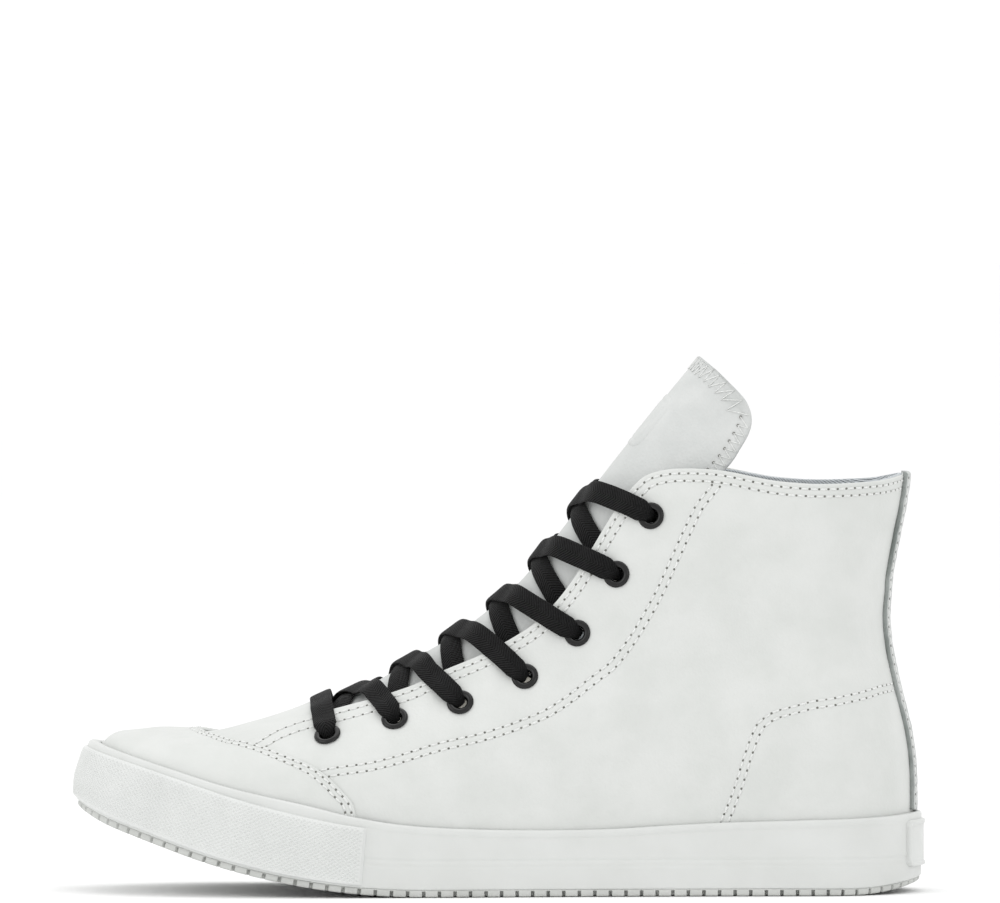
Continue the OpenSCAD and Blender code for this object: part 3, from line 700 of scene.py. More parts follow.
for name, material in (
    ("midsole_filler", filler_rubber), ("insole_board", board), ("toe_puff", stiffener),
    ("heel_patch_lateral", stay_cloth), ("heel_patch_medial", stay_cloth),
):
    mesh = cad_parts[name].data
    mesh.materials.clear()
    mesh.materials.append(material)

# ---- sole unit ----
CAP_T = CAP_OUT - QUARTER_OUT
FOXING_T = 2.2
BUMPER_T = 1.2
BUMPER_BOTTOM = 3.1


def foxing_in(s):
    return QUARTER_OUT + 0.1 + (CAP_T + 0.35) * smooth((-34 - s) / 8)


def foxing_out(s, n):
    belly = np.interp(n, *np.array(BELLY_SHAPE).T)
    return (QUARTER_OUT + 0.1 + CAP_T * smooth((-44 - s) / 8)
            + FOXING_T + 0.5 * smooth((s - 95) / 30)
            + 2.3 * smooth((-116 - s) / 28) * belly)


def sole_s(share):
    return mix(TIP_S, BACK_S, (1 - np.cos(math.tau * share)) / 2)


def side_of(share):
    return np.where(share % 1.0 <= 0.5, LATERAL, MEDIAL)


share_steps = shares(6001)
outline = lengths(on_sole(sole_s(share_steps), 10.0, 7.0, side_of(share_steps)))
PERIMETER = outline[-1]


def share_at(distance):
    """Share of the way round the sole, from the toe, at a distance along its outline."""
    return np.interp(distance % PERIMETER, outline, share_steps) + np.floor(distance / PERIMETER)


def band(distance, rows, outer_d, inner_d, wrap=False):
    """Grids round the sole: rows is n at each [row, station], outer_d and inner_d are offsets."""
    share = share_at(distance)
    s, side = sole_s(share)[None], side_of(share)[None]
    return closed_sheet(on_sole(s, rows, outer_d, side), on_sole(s, rows, inner_d, side), wrap=wrap)


def ridge_facets(faces, high, outer_count):
    """Splits the outer quads so that an edge joins their two high corners."""
    high = high.ravel()
    first = faces[:, 0] % outer_count
    turned = np.where(high[first][:, None], faces, np.roll(faces, -1, axis=1))
    return np.concatenate([turned[:, [0, 1, 2]], turned[:, [0, 2, 3]]])


stations = np.linspace(0, PERIMETER, 561)
stations[-1] = PERIMETER - 1e-7
s = sole_s(share_at(stations))[None]
top = curve(FOXING_TOP, s)
edge = np.array([0, 0.1, 0.25, 0.5, 0.8, 1.2])
share_up = shares(50)[:, None]
n = np.concatenate([
    TREAD_T + edge[:, None] + 0 * s, mix(TREAD_T + 1.6, top - 1.6, share_up),
    top - edge[::-1, None],
])
d = foxing_out(s, n) + 0 * n
from_top, from_low = top - n, n - TREAD_T
d = d - 0.8 * fall(from_top / 0.9) - 0.5 * fall(from_low / 0.7)
behind = smooth((s - BUMPER_END_S + 2) / 3)
for line, depth in ((12.6, 0.16), (10.5, 0.1)):
    d = d - depth * behind * np.exp(-((n - line) / 0.35) ** 2)
d = d + 0.22 * smooth((from_top - 0.4) / 0.5) * (1 - smooth((from_top - 2.2) / 0.6))
d = d + 0.05 * ripple(stations[None], n * 3, 3, 30)
piece("foxing", band(stations, n, d, foxing_in(s) + 0 * n, wrap=True), foxing_rubber,
    stands_for=["foxing_tape"], weld=0.02)

# Toe bumper, with its moulded diamonds
half = share_steps[np.searchsorted(sole_s(share_steps[:3001]), BUMPER_END_S)]
reach = np.interp(half, share_steps, outline)
HALF_X, HALF_Z, DIAMOND = 1.0, 0.70, 0.2
count = int(2 * reach / HALF_X)
stations = np.linspace(-reach, reach, count + 1)
s = sole_s(share_at(stations))[None]
top = curve(BUMPER_TOP, s)
low = BUMPER_BOTTOM
cells_up = int(round(float(np.mean(top) - low - 1.6) / HALF_Z))
inside = mix(low + 0.8, top - 0.8, shares(cells_up + 1)[:, None])
n = np.concatenate([
    low + np.array([0, 0.12, 0.35])[:, None] + 0 * s, inside,
    top - np.array([0.4, 0.15, 0])[:, None],
])
i, j = np.meshgrid(np.arange(n.shape[0]), np.arange(n.shape[1]), indexing="ij")
from_end = (reach - np.abs(stations))[None]
field = (smooth((n - low - 0.6) / 0.4) * smooth((top - n - 0.6) / 0.4)
         * smooth((from_end - 1.2) / 0.8))
d = foxing_out(s, n) + BUMPER_T - 0.12
d = d - 0.9 * fall((top - n) / 0.8) - 0.7 * fall((n - low) / 0.6)
d = d - 0.8 * fall(from_end / 0.9)
d = d + DIAMOND * field * np.where((i + j) % 2 == 0, 1.0, -1.0)
points, faces = band(stations, n, d, foxing_out(s, n) - 0.4)
faces = ridge_facets(faces, (i + j) % 2 == 0, n.size)
bumper = piece(
    "toe_bumper_diamonds", (points, faces), bumper_rubber,
    stands_for=["toe_bumper"])
bumper.data.shade_flat()

# Heel label: a blank plate with a raised border
label = share_steps[np.searchsorted(share_steps, 0.5 - 0.041)]
span = PERIMETER / 2 - np.interp(label, share_steps, outline)
LABEL_LOW, LABEL_HIGH, CORNER = 8.6, 25.6, 3.0
stations = PERIMETER / 2 + np.linspace(-span, span, 161)
s = sole_s(share_at(stations))[None]
n = np.linspace(LABEL_LOW, LABEL_HIGH, 61)[:, None] + 0 * s
across = np.abs(stations - PERIMETER / 2)[None]
tall = (LABEL_HIGH - LABEL_LOW) / 2
upright = np.abs(n - (LABEL_LOW + LABEL_HIGH) / 2)
qx, qz = np.maximum(across - (span - CORNER), 0), np.maximum(upright - (tall - CORNER), 0)
rim = np.where((qx > 0) & (qz > 0), CORNER - np.hypot(qx, qz),
               np.minimum(span - across, tall - upright))
height = -0.3 + 1.3 * rounded(rim / 0.7) * (rim > 0)
height = height + 0.45 * smooth((rim - 0.3) / 0.4) * (1 - smooth((rim - 1.7) / 0.5))
piece("heel_plate", band(stations, n, foxing_out(s, n) + height, foxing_out(s, n) - 0.6),
    label_rubber, stands_for=["heel_label"])

# Outsole: an edge with notches, and a tread of crossing waves
NOTCH_PITCH, NOTCH_W, NOTCH_D = 5.4, 1.3, 2.6
notches = int(PERIMETER / NOTCH_PITCH)
pitch = PERIMETER / notches
inside_notch = np.array([0, 0.12, 0.3, NOTCH_W - 0.3, NOTCH_W - 0.12, NOTCH_W])
land = pitch - NOTCH_W
between = NOTCH_W + np.array([0.12, 0.4, 1.2, 2.0, 2.8, land - 0.4, land - 0.12])
cut_steps = np.concatenate([inside_notch, between])
cut_depth = np.array([0, 0.8, 1, 1, 0.8, 0] + [0] * 7)
stations = (np.arange(notches)[:, None] * pitch + cut_steps).ravel()
cuts = np.tile(cut_depth, notches)
stations = np.append(stations, PERIMETER - 1e-7)
cuts = np.append(cuts, cuts[0])
s = sole_s(share_at(stations))[None]
n = np.array([0, 0.12, 0.35, 0.9, 1.7, 1.9, 2.05, 2.3, 2.4])[:, None] + 0 * s
wall = np.array([4.7, 5.1, 5.35, 5.6, 5.6, 5.6, 5.6, 5.6, 5.4])[:, None]
cut = NOTCH_D * cuts[None] * np.array([1, 1, 1, 1, 1, 0.75, 0, 0, 0])[:, None]
wall_d = wall - cut
piece("outsole_edge", band(stations, n, wall_d, -1.5 + 0 * n, wrap=True), outsole_rubber,
    stands_for=["outsole"], weld=0.02)


def across_sole(function, s_rows, share, n, d):
    """A surface between the two sides of an outline, share 0 on the outer side."""
    a = function(s_rows[:, None], n, d, LATERAL)
    b = function(s_rows[:, None], n, d, MEDIAL)
    return mix(a, b, share[None, :, None])


rows = sole_s(np.linspace(0.004, 0.496, 380))
steps = shares(121)
share = 0.25 * (1 - np.cos(math.pi * steps)) / 2 + 0.75 * steps
under = across_sole(on_sole, rows, share, 0.2, 0.5)
upper = across_sole(on_sole, rows, share, 4.4, 0.5)
x, y = under[..., 0], under[..., 1]
wave = 2.2 * np.sin(math.tau * y / 17)
groove = smooth((np.cos(math.tau * (x + wave) / 5.9) - 0.1) / 0.35)
border = np.minimum(share, 1 - share)[None] * np.ptp(y, axis=1)[:, None]
ends = np.minimum(np.abs(rows - rows[0]), np.abs(rows - rows[-1]))[:, None]
ring = smooth((border - 4) / 1.0) * smooth((ends - 5) / 1.5)
waist = np.exp(-((x - 45) / 16) ** 4)
groove = groove * (1 - waist) + waist * smooth((np.cos(math.tau * y / 9) - 0.5) / 0.3) * 0.6
under[..., 2] += 1.6 * groove * ring
piece("outsole_tread", closed_sheet(under, upper), outsole_rubber,
    stands_for=["outsole"])

# Footbed: a loose insert with a shallow cup
rows = sole_s(np.linspace(0.012, 0.492, 150))
share = shares(61)
across = np.abs(2 * share - 1)[None]
rise = -0.4 - 0.9 * (1 - across ** 3)
upper = across_sole(on_last, rows, share, FOOTBED_TOP, -2.3)
upper[..., 2] += rise * smooth((rows + 146) / 30)[:, None]
round_edge = 0.8 * fall((1 - across) / 0.05)
upper[..., 2] -= round_edge
under = across_sole(on_last, rows, share, FOOTBED_BOTTOM, -1.5)
footbed = piece(
    "footbed_insert", closed_sheet(upper, under), footbed_cloth, "footbed",
    ["footbed"])

# ---- upper ----
EDGE = np.array([0, 0.07, 0.2, 0.4, 0.65, 1.0, 1.4, 1.8, 2.2, 2.7, 3.3, 3.9, 4.4, 4.9, 5.6])


def toe_height(s, share):
    top = curve(RIDGE, s)
    return top - (top - BOARD_BOTTOM) * share * share


def toe_edge(table, share, shift=0.0):
    s = curve(table, share) + shift
    return np.stack([s, toe_height(s, share)], -1)


def straight(a, b):
    return lambda t: mix(np.array(a, float), np.array(b, float), t[..., None])


def path(points):
    return lambda t: along(points, t)


def toe_path(table, low, high, shift):
    return lambda t: toe_edge(table, mix(low, high, t), shift)


def heel_path(low, high):
    def at(t):
        n = mix(low, high, t)
        return np.stack([curve(BACK, n), n], -1)
    return at


def patch_grid(lower, upper, front, rear, cols, rows):
    """Flat [s, n] points of a four-sided panel, and their distance from its upper edge."""
    u = 1 - (1 - shares(cols)) ** 2
    tall = np.linalg.norm(upper(u) - lower(u), axis=-1)
    v = np.concatenate([
        shares(rows)[:, None] * (1 - (EDGE[-1] + 0.8) / tall),
        1 - EDGE[::-1, None] / tall,
    ])
    u = np.broadcast_to(u, v.shape)
    uu, vv = u[..., None], v[..., None]
    zero, one = np.zeros(1), np.ones(1)
    corners = mix(mix(front(zero), rear(zero), uu), mix(front(one), rear(one), uu), vv)
    flat = mix(lower(u), upper(u), vv) + mix(front(v), rear(v), uu) - corners
    return flat, (1 - v) * tall


def eyelet_axis(e, side):
    at = (np.array(e[0]), np.array(side * e[1]), QUARTER_OUT)
    return over_instep(*at), instep_normal(*at)


def cut_eyelets(outer, inner, side, radius=BORE_R + BORE_GAP):
    """Leaves round holes in a panel; points just inside a hole move out to its rim."""
    inside = np.zeros(outer.shape[:2], bool)
    for e in EYELET_AT:
        foot, axis = eyelet_axis(e, side)
        for grid in (outer, inner):
            away = grid - foot
            height = away @ axis
            flat = away - height[..., None] * axis
            far = np.linalg.norm(flat, axis=-1)
            if grid is outer:
                hole = (far < radius) & (np.abs(height) < 8)
                inside |= hole
            grid[hole] += (flat * (radius / np.maximum(far, 0.05) - 1)[..., None])[hole]
    return ~(inside[:-1, :-1] & inside[1:, :-1] & inside[1:, 1:] & inside[:-1, 1:])


def groove_depth(flat, seams, depth=0.2, wide=0.6):
    """Grooves along the seams, and how far the nearest seam is."""
    far = np.stack([nearest(flat, seam) for seam in seams])
    return -depth * np.exp(-(far / wide) ** 2).sum(0), far.min(0)


threads, holes = Bag(), Bag()
stay_fine = fine(STAY_SEAM, 500)
patch_fine = fine(PATCH_SEAM, 400)
quarter_front = toe_path(CAP_LINE, 1, THROAT_SHARE, -UNDER_CAP)
corner = quarter_front(np.ones(1))[0]
foot_corner = quarter_front(np.zeros(1))[0]
top_fine = fine([corner, *TOP_EDGE], 700)
seams = [
    offset_line(top_fine, 1.8), offset_line(top_fine, 4.3), stay_fine, offset_line(stay_fine, 2.4),
    patch_fine, offset_line(patch_fine, 2.4),
]
for side, word in SIDES:
    flat, from_top = patch_grid(
        straight(foot_corner, [BACK_S, 10]), path([corner, *TOP_EDGE]), quarter_front,
        heel_path(10, 146), 250, 105)
    s, n = flat[..., 0], flat[..., 1]
    grooves, from_seam = groove_depth(flat, seams)
    wavy = 0.16 * ripple(s, n, 11 + int(side), 42) + 0.04 * ripple(s, n, 21 + int(side), 11)
    relief = (grooves + wavy * smooth(from_seam / 5)) * smooth(from_top / 1.2)
    outer = on_last(s, n, QUARTER_OUT + relief - 0.65 * fall(from_top / 0.7), side)
    inner = on_last(s, n, QUARTER_IN + 0.3 * fall(from_top / 0.4), side)
    keep = cut_eyelets(outer, inner, side)
    piece("quarter_leather_" + word, closed_sheet(outer, inner, keep), leather,
        stands_for=["quarter_" + word])
    for seam in seams:
        keep_on = (seam[:, 0] > -104) & (seam[:, 1] > 20)
        a, b = seam[keep_on].T
        stitch_row(threads, holes, on_last(a, b, QUARTER_OUT - 0.2, side),
                   normal_at(a, b, QUARTER_OUT, side))

    # Lining, thickened along the collar where it is turned over
    front = toe_path(VAMP_LINE, 1, STAY_SHARE, 0.6)
    ends = front(np.array([0.0, 1.0]))
    flat, from_top = patch_grid(
        straight(ends[0], [BACK_S, 10]), path([ends[1], *[p for p in TOP_EDGE if p[0] > -66]]),
        front, heel_path(10, 146), 130, 50)
    s, n = flat[..., 0], flat[..., 1]
    turned = smooth((s - 83) / 4) * (1 - smooth(from_top / 7))
    puff = 0.1 * ripple(s, n, 31 + int(side), 25) * smooth(from_top / 6)
    outer = on_last(s, n, mix(LINING_IN, QUARTER_IN - 0.1, turned), side)
    inner = on_last(s, n, puff + 0.4 * fall(from_top / 0.5), side)
    keep = cut_eyelets(outer, inner, side)
    piece("lining_cloth_" + word, closed_sheet(outer, inner, keep), lining_cloth,
        stands_for=["lining_" + word])

    # Eyelet stay, between the lining and the quarter
    stay_corner = [-68, 58.8]
    rear = [STAY_EDGE[-1], *reversed([p for p in TOP_EDGE if 52 < p[0] < STAY_EDGE[-1][0]])]
    flat, from_top = patch_grid(
        path(STAY_EDGE), path([stay_corner, *[p for p in THROAT_EDGE if p[0] > -66]]),
        straight(STAY_EDGE[0], stay_corner), path(rear), 160, 12)
    s, n = flat[..., 0], flat[..., 1]
    outer = on_last(s, n, QUARTER_IN - 0.05, side)
    inner = on_last(s, n, LINING_IN + 0.05, side)
    keep = cut_eyelets(outer, inner, side)
    piece("eyestay_cloth_" + word, closed_sheet(outer, inner, keep), stay_cloth,
        stands_for=["eyestay_" + word])


def dome_point(table, signed, back_off, f, d):
    """On the toe: signed share across, back_off short of the rear edge, f of the way to it."""
    share = np.abs(signed)
    s = mix(TIP_S, curve(table, share) - back_off, f)
    n = toe_height(s, share)
    return on_last(s, n, d, side_at(signed)), s, n


def dome_stretch(table, signed):
    """How much further along s a step square to the rear edge is."""
    one = np.ones_like(signed)
    step = 0.004
    ahead = dome_point(table, np.clip(signed + step, -1, 1), 0, one, CAP_OUT)[0]
    behind = dome_point(table, np.clip(signed - step, -1, 1), 0, one, CAP_OUT)[0]
    run = unit(ahead - behind)
    inward = (dome_point(table, signed, 1.0, one, CAP_OUT)[0]
              - dome_point(table, signed, 0, one, CAP_OUT)[0])
    square = np.linalg.norm(square_to(inward, run), axis=-1)
    return 1 / np.maximum(square, 0.3)


def cap_sink(signed, from_edge):
    """Over the vamp alone, the cap's rear edge lies lower than over the quarters."""
    return 1.2 * (1 - smooth((np.abs(signed) - 0.37) / 0.08)) * (1 - smooth(from_edge / 16))


def dome(table, d_in, d_out, rows, cols, edge_steps, relief):
    signed = np.linspace(-1, 1, cols)[None]
    stretch = dome_stretch(table, signed)
    reach = curve(table, np.abs(signed)) - TIP_S
    off = edge_steps[::-1, None] * stretch
    f = np.concatenate([
        shares(rows)[:, None] ** 2 * (1 - (off[0] + 1.0 * stretch) / reach),
        1 - off / reach,
    ])
    from_edge = (1 - f) * reach / stretch
    signed = signed + 0 * f
    _, s, n = dome_point(table, signed, 0, f, 0)
    outer, inner = relief(signed, s, n, from_edge)
    return closed_sheet(
        dome_point(table, signed, 0, f, d_out + outer)[0],
        dome_point(table, signed, 0, f, d_in + inner)[0], zip_first=True)


def cap_relief(signed, s, n, from_edge):
    sink = cap_sink(signed, from_edge)
    grooves = sum(-0.2 * np.exp(-((from_edge - row) / 0.6) ** 2) for row in CAP_ROWS)
    lumps = 0.07 * ripple(s, n + 30 * signed, 41, 26) * smooth(from_edge / 3)
    lumps = lumps * smooth((s - TIP_S) / 12)
    outer = -sink - 0.6 * fall(from_edge / 0.7) + grooves + lumps
    return outer, -sink


def plain_relief(signed, s, n, from_edge):
    return -0.4 * fall(from_edge / 0.6) + 0.05 * ripple(s, n + 30 * signed, 43, 26), 0 * s


CAP_ROWS = (1.3, 3.4)
piece("toe_cap_leather", dome(CAP_LINE, QUARTER_OUT, CAP_OUT, 80, 241, EDGE, cap_relief), leather,
    stands_for=["toe_cap"], weld=0.02)
piece("vamp_leather", dome(VAMP_LINE, LINING_IN, VAMP_OUT, 60, 161, EDGE[:8], plain_relief),
    leather, stands_for=["vamp"], weld=0.02)
piece("vamp_lining_cloth",
    dome(VAMP_LINE, 0, LINING_IN, 40, 101, EDGE[:6], lambda g, s, n, e: (0 * s, 0 * s)),
    lining_cloth, stands_for=["vamp_lining"], weld=0.02)

signed = np.linspace(-0.93, 0.93, 700)
stretch = dome_stretch(CAP_LINE, signed)
for row in CAP_ROWS:
    ones = np.ones_like(signed)
    _, s, n = dome_point(CAP_LINE, signed, row * stretch, ones, 0)
    level = CAP_OUT - 0.2 - cap_sink(signed, row)
    sides = side_at(signed)
    line = on_last(s, n, level, sides)
    up = dome_point(CAP_LINE, signed, row * stretch, ones, CAP_OUT + 1)[0] - dome_point(
        CAP_LINE, signed, row * stretch, ones, CAP_OUT)[0]
    stitch_row(threads, holes, line, unit(up))

# Back strip, with unfinished, fuzzy edges, and a thin band along each edge painted dark as shadow
EDGE_SHADOW_WIDTH, STRIP_ROW_SHARE = 0.5, 0.78
rows, cols = 150, 41
n = mix(STRIP_BOTTOM, STRIP_TOP, shares(rows))[:, None]
edge_share = np.concatenate([[0, 0.015, 0.04, 0.08], np.linspace(0.13, 1, 17)])
signed = np.concatenate([edge_share - 1, 1 - edge_share[:-1][::-1]])[None]
s = curve(BACK, n) - STRIP_DEPTH * signed ** 2
sides = side_at(signed)
from_edge = 10 * (1 - np.abs(signed))
fuzz = 0.1 * ripple(n, 40 * signed, 51, 6) + 0.08 * ripple(n, 60 * signed, 52, 2.5)
ends = 0.7 * fall((STRIP_TOP - n) / 0.9)
thin = STRIP_T - 0.3 * fall(from_edge / 0.5) - ends + fuzz
outer = on_last(s, n, QUARTER_OUT + thin, sides)
inner = on_last(s, n, QUARTER_OUT - 0.15, sides)
points, faces = closed_sheet(outer, inner)
# painted shadow: the faces along both edges of the strip take the dark edge colour
edge_shadow_faces = np.concatenate([(from_edge + 0 * n).ravel()] * 2)[faces].mean(1) < EDGE_SHADOW_WIDTH
piece("back_strip_leather", (points, faces), strip_leather_shaded,
    stands_for=["back_strip"], second=strip_edge_shadow, second_faces=edge_shadow_faces)
for side in (LATERAL, MEDIAL):
    n = np.linspace(STRIP_BOTTOM + 2, STRIP_TOP - 2, 300)
    s = curve(BACK, n) - STRIP_DEPTH * STRIP_ROW_SHARE ** 2
    stitch_row(threads, holes, on_last(s, n, QUARTER_OUT + STRIP_T - 0.05, side),
               normal_at(s, n, QUARTER_OUT + STRIP_T, side))


# ---- tongue ----
def tongue_rows(s, arcs, d, inset=0.0):
    """Points of one or more rows of the tongue; arcs are distances from its outer-side edge,
    and negative ones from its inner-side edge."""
    share = np.linspace(-1, 1, 241)
    w = share[None] * np.sqrt((curve(TONGUE_DEPTH, s)[:, None] - inset) / REACH)
    dense = over_instep(s[:, None], w, TONGUE_OUT)
    run = np.concatenate([np.zeros((len(s), 1)), np.cumsum(
        np.linalg.norm(np.diff(dense, axis=1), axis=-1), axis=1)], 1)
    at = np.where(arcs < 0, run[:, -1:] + arcs, arcs)
    picked = np.stack([np.interp(at[i], run[i], w[i]) for i in range(len(s))])
    return over_instep(s[:, None], picked, d), picked, run[:, -1]


def tongue_grid(rows, cols, inset, base, tip):
    s = mix(base, tip, 1 - (1 - shares(rows)) ** 1.8)
    _, _, wide = tongue_rows(s, np.zeros((rows, 1)), TONGUE_OUT, inset)
    edge = np.array([0, 0.08, 0.25, 0.5, 0.9, 1.5, 2.2, 3.0, 3.8, 4.5, 5.2])
    room = np.minimum(1, wide / (2 * edge[-1] + 6))[:, None]
    wide = wide[:, None]
    start = edge[-1] * room + 1
    inner = mix(start, wide - start, shares(cols)[None])
    arcs = np.concatenate([edge[None] * room, inner, wide - edge[None, ::-1] * room], 1)
    arcs = np.minimum(arcs, wide)
    from_edge = np.minimum(arcs, wide - arcs)
    from_edge = np.minimum(from_edge, np.abs(tip - s)[:, None] * 1.25)
    return s, arcs, from_edge


s, arcs, from_edge = tongue_grid(170, 60, 0, TONGUE_BASE, TONGUE_TOP)
swell = 0.12 * ripple(s[:, None], arcs * 1.2, 61, 30) * smooth(from_edge / 5)
edge_fuzz = 0.16 * ripple(s[:, None], arcs, 62, 2.6) * (1 - smooth((from_edge - 3.8) / 1.0))
border_dip = -0.22 * np.exp(-((from_edge - 4.6) / 0.5) ** 2)
drop = 0.7 * fall(from_edge / 0.8)
d_out = TONGUE_OUT + swell + edge_fuzz + border_dip - drop
outer, _, _ = tongue_rows(s, arcs, d_out)
inner, _, _ = tongue_rows(s, arcs, TONGUE_IN + 0.4 * fall(from_edge / 0.5))
points, faces = closed_sheet(outer, inner)
near = np.concatenate([from_edge.ravel()] * 2)[faces].mean(1) < 4.5
piece("tongue_leather", (points, faces), tongue_leather, "tongue", ["tongue"],
    second=suede_edge, second_faces=near)
s, arcs, from_edge = tongue_grid(90, 34, 3, TONGUE_BASE, TONGUE_TOP - 1.2)
outer, _, _ = tongue_rows(s, arcs, TONGUE_IN - 0.02, 3)
inner, _, _ = tongue_rows(s, arcs, TONGUE_IN - 1 + 0.5 * fall(from_edge / 0.8), 3)
piece("tongue_lining_cloth", closed_sheet(outer, inner), lining_cloth, "tongue",
    ["tongue_lining"])

# Blank raised pad on the tongue
i, j = np.linspace(-1, 1, 61)[:, None], np.linspace(-1, 1, 61)[None]
rim = 1 - np.hypot(*[np.maximum(np.abs(k) - 0.6, 0) / 0.4 for k in (i, j)])
lift = 0.62 * rounded(rim / 0.35) - 0.2 - 0.2 * np.exp(-((rim - 0.6) / 0.12) ** 2)
s, w = 50 + 7 * i, 0.34 * j
pad = closed_sheet(
    over_instep(s, w, TONGUE_OUT + lift), over_instep(s, w, TONGUE_OUT - 0.5 + 0 * i))
piece("tongue_pad", pad, tongue_leather, "tongue", ["tongue_patch"])

# Overlocked border: one thread to and fro over the edge, and dark grains where it goes in, painted
# shade in each needle hole
ZIG, BORDER_START, BORDER_END = 1.55, 20.0, TONGUE_TOP - 3.4
BORDER_THREAD_R = 0.2
border, dots = Bag(), Bag()
for side in (LATERAL, MEDIAL):
    s = np.linspace(BORDER_START, BORDER_END, 400)
    arcs = np.broadcast_to(-side * np.array([0.4, 4.5]), (400, 2))
    rim, _, _ = tongue_rows(s, arcs, TONGUE_OUT + 0.12)
    rim_out, rim_in = rim[:, 0], rim[:, 1]
    up = unit(np.cross(np.gradient(rim_out, axis=0), rim_in - rim_out))
    up = up * np.sign((up[:, 2] - up[:, 0]).mean())
    run = lengths(rim_out)
    turns = np.arange(int(run[-1] / ZIG))
    out_p, in_p, ups = [read(turns * ZIG, run, rows) for rows in (rim_out, rim_in, up)]
    zigzag = np.where((turns % 2 == 0)[:, None], out_p, in_p)
    steps = np.linspace(0, turns[-1], 5 * turns[-1] + 1)
    normals = unit(read(steps * ZIG, run, up))
    thread(border, read(steps, turns, zigzag) + 0.06 * normals, normals, BORDER_THREAD_R)
    ins = in_p[1::2]
    pods(dots, ins, heading(ins), unit(ups[1::2]), [0.5, 0.42, 0.18])
TOP_TURNS = 42
corner_depth, corner_s = np.array([[8, 68], [19.6, 67.3], [24.4, 66.4], [28.4, 64.6]]).T
w = np.linspace(-0.92, 0.92, TOP_TURNS)
rim_s = np.interp(REACH * w * w, corner_depth, corner_s)
inward = np.arange(TOP_TURNS) % 2
alternate = rim_s - 0.4 - 3.4 * inward
w = w * (1 - 0.1 * inward)
steps = np.linspace(0, TOP_TURNS - 1, 5 * (TOP_TURNS - 1) + 1)
turns = np.arange(TOP_TURNS)
s, w = np.interp(steps, turns, alternate), np.interp(steps, turns, w)
normals = instep_normal(s, w, TONGUE_OUT)
thread(border, over_instep(s, w, TONGUE_OUT + 0.1), normals, BORDER_THREAD_R)
piece("tongue_overlock", border.mesh(), thread_white, "tongue")
piece("tongue_overlock_hole_shade", dots.mesh(), needle_hole_shade, "tongue")

piece("seam_threads", threads.mesh(), thread_white)
piece("seam_hole_shade", holes.mesh(), needle_hole_shade)

# ---- eyelets and lace ----
WASHER_T = 0.35


def lathe(bag, profile, foot, axis, sides=48):
    """A ring turned from a closed [radius, height] profile about an axis."""
    other = unit(np.cross(axis, [0.0, 1.0, 0.3]))
    third = np.cross(axis, other)
    angle = math.tau * np.arange(sides) / sides
    out = np.cos(angle)[:, None] * other + np.sin(angle)[:, None] * third
    profile = np.array(profile, float)
    points = foot + out[:, None] * profile[None, :, :1] + axis * profile[None, :, 1:]
    i, j = np.meshgrid(np.arange(sides), np.arange(len(profile)), indexing="ij")
    i2, j2 = (i + 1) % sides, (j + 1) % len(profile)
    m = len(profile)
    bag.add(points, np.stack([i * m + j, i2 * m + j, i2 * m + j2, i * m + j2], -1).reshape(-1, 4))


depth = QUARTER_OUT + WASHER_T + 0.2
barrel = BORE_R + 0.35
flange = [
    [BORE_R, -depth], [barrel, -depth], [barrel, 0], [FLANGE_R - 0.1, 0], [FLANGE_R, 0.1],
    [FLANGE_R + 0.02, 0.3], [FLANGE_R - 0.08, 0.55], [FLANGE_R - 0.35, 0.82],
    [FLANGE_R - 0.75, 0.99], [FLANGE_R - 1.15, 1.03], [FLANGE_R - 1.55, 0.93],
    [FLANGE_R - 1.95, 0.7], [BORE_R + 0.12, 0.35], [BORE_R, -0.05],
]
washer = [
    [barrel + 0.02, 0], [FLANGE_R - 0.8, 0], [FLANGE_R - 0.7, 0.1], [FLANGE_R - 0.7, WASHER_T],
    [barrel + 0.02, WASHER_T],
]
for side, word in SIDES:
    rings, washers = Bag(), Bag()
    for e in EYELET_AT:
        foot, axis = eyelet_axis(e, side)
        lathe(rings, flange, foot + 0.1 * axis, axis)
        inside_foot = over_instep(np.array(e[0]), np.array(side * e[1]), 0.0)
        drop = (inside_foot - foot) @ axis
        lathe(washers, washer, foot + axis * (drop - WASHER_T - 0.05), axis)
    piece("eyelet_rings_" + word, rings.mesh(), enamel,
          stands_for=["eyelets_" + word])
    piece("eyelet_backs_" + word, washers.mesh(), enamel,
          stands_for=["eyelet_washers_" + word])

ON_QUARTER = QUARTER_OUT + 1.0 + LACE_T / 2 + 0.3
IN_THROAT = QUARTER_OUT + LACE_T / 2 + 0.2


def strand_lift(u, over):
    hop = LACE_T + 0.3 if over else 0.0
    return (UNDER_LACE + hop * smooth((u - 0.13) / 0.22)
            + (IN_THROAT - UNDER_LACE - hop) * smooth((u - 0.61) / 0.18)
            + (ON_QUARTER - IN_THROAT) * smooth((u - 0.86) / 0.08))


def bar_lift(u):
    v = np.minimum(u, 1 - u)
    return (ON_QUARTER - (ON_QUARTER - IN_THROAT) * smooth((v - 0.05) / 0.08)
            - (QUARTER_OUT - QUARTER_IN) * smooth((v - 0.2) / 0.14))


def dive(near_point, eyelet, side, level, bottom, count=16):
    """A bend from a strand down, or up, the middle of an eyelet."""
    foot, axis = eyelet_axis(eyelet, side)
    turn = foot + axis * (level - QUARTER_OUT)
    end = foot + axis * (bottom - QUARTER_OUT)
    t = shares(count)[:, None]
    return (1 - t) ** 2 * near_point + 2 * t * (1 - t) * turn + t * t * end


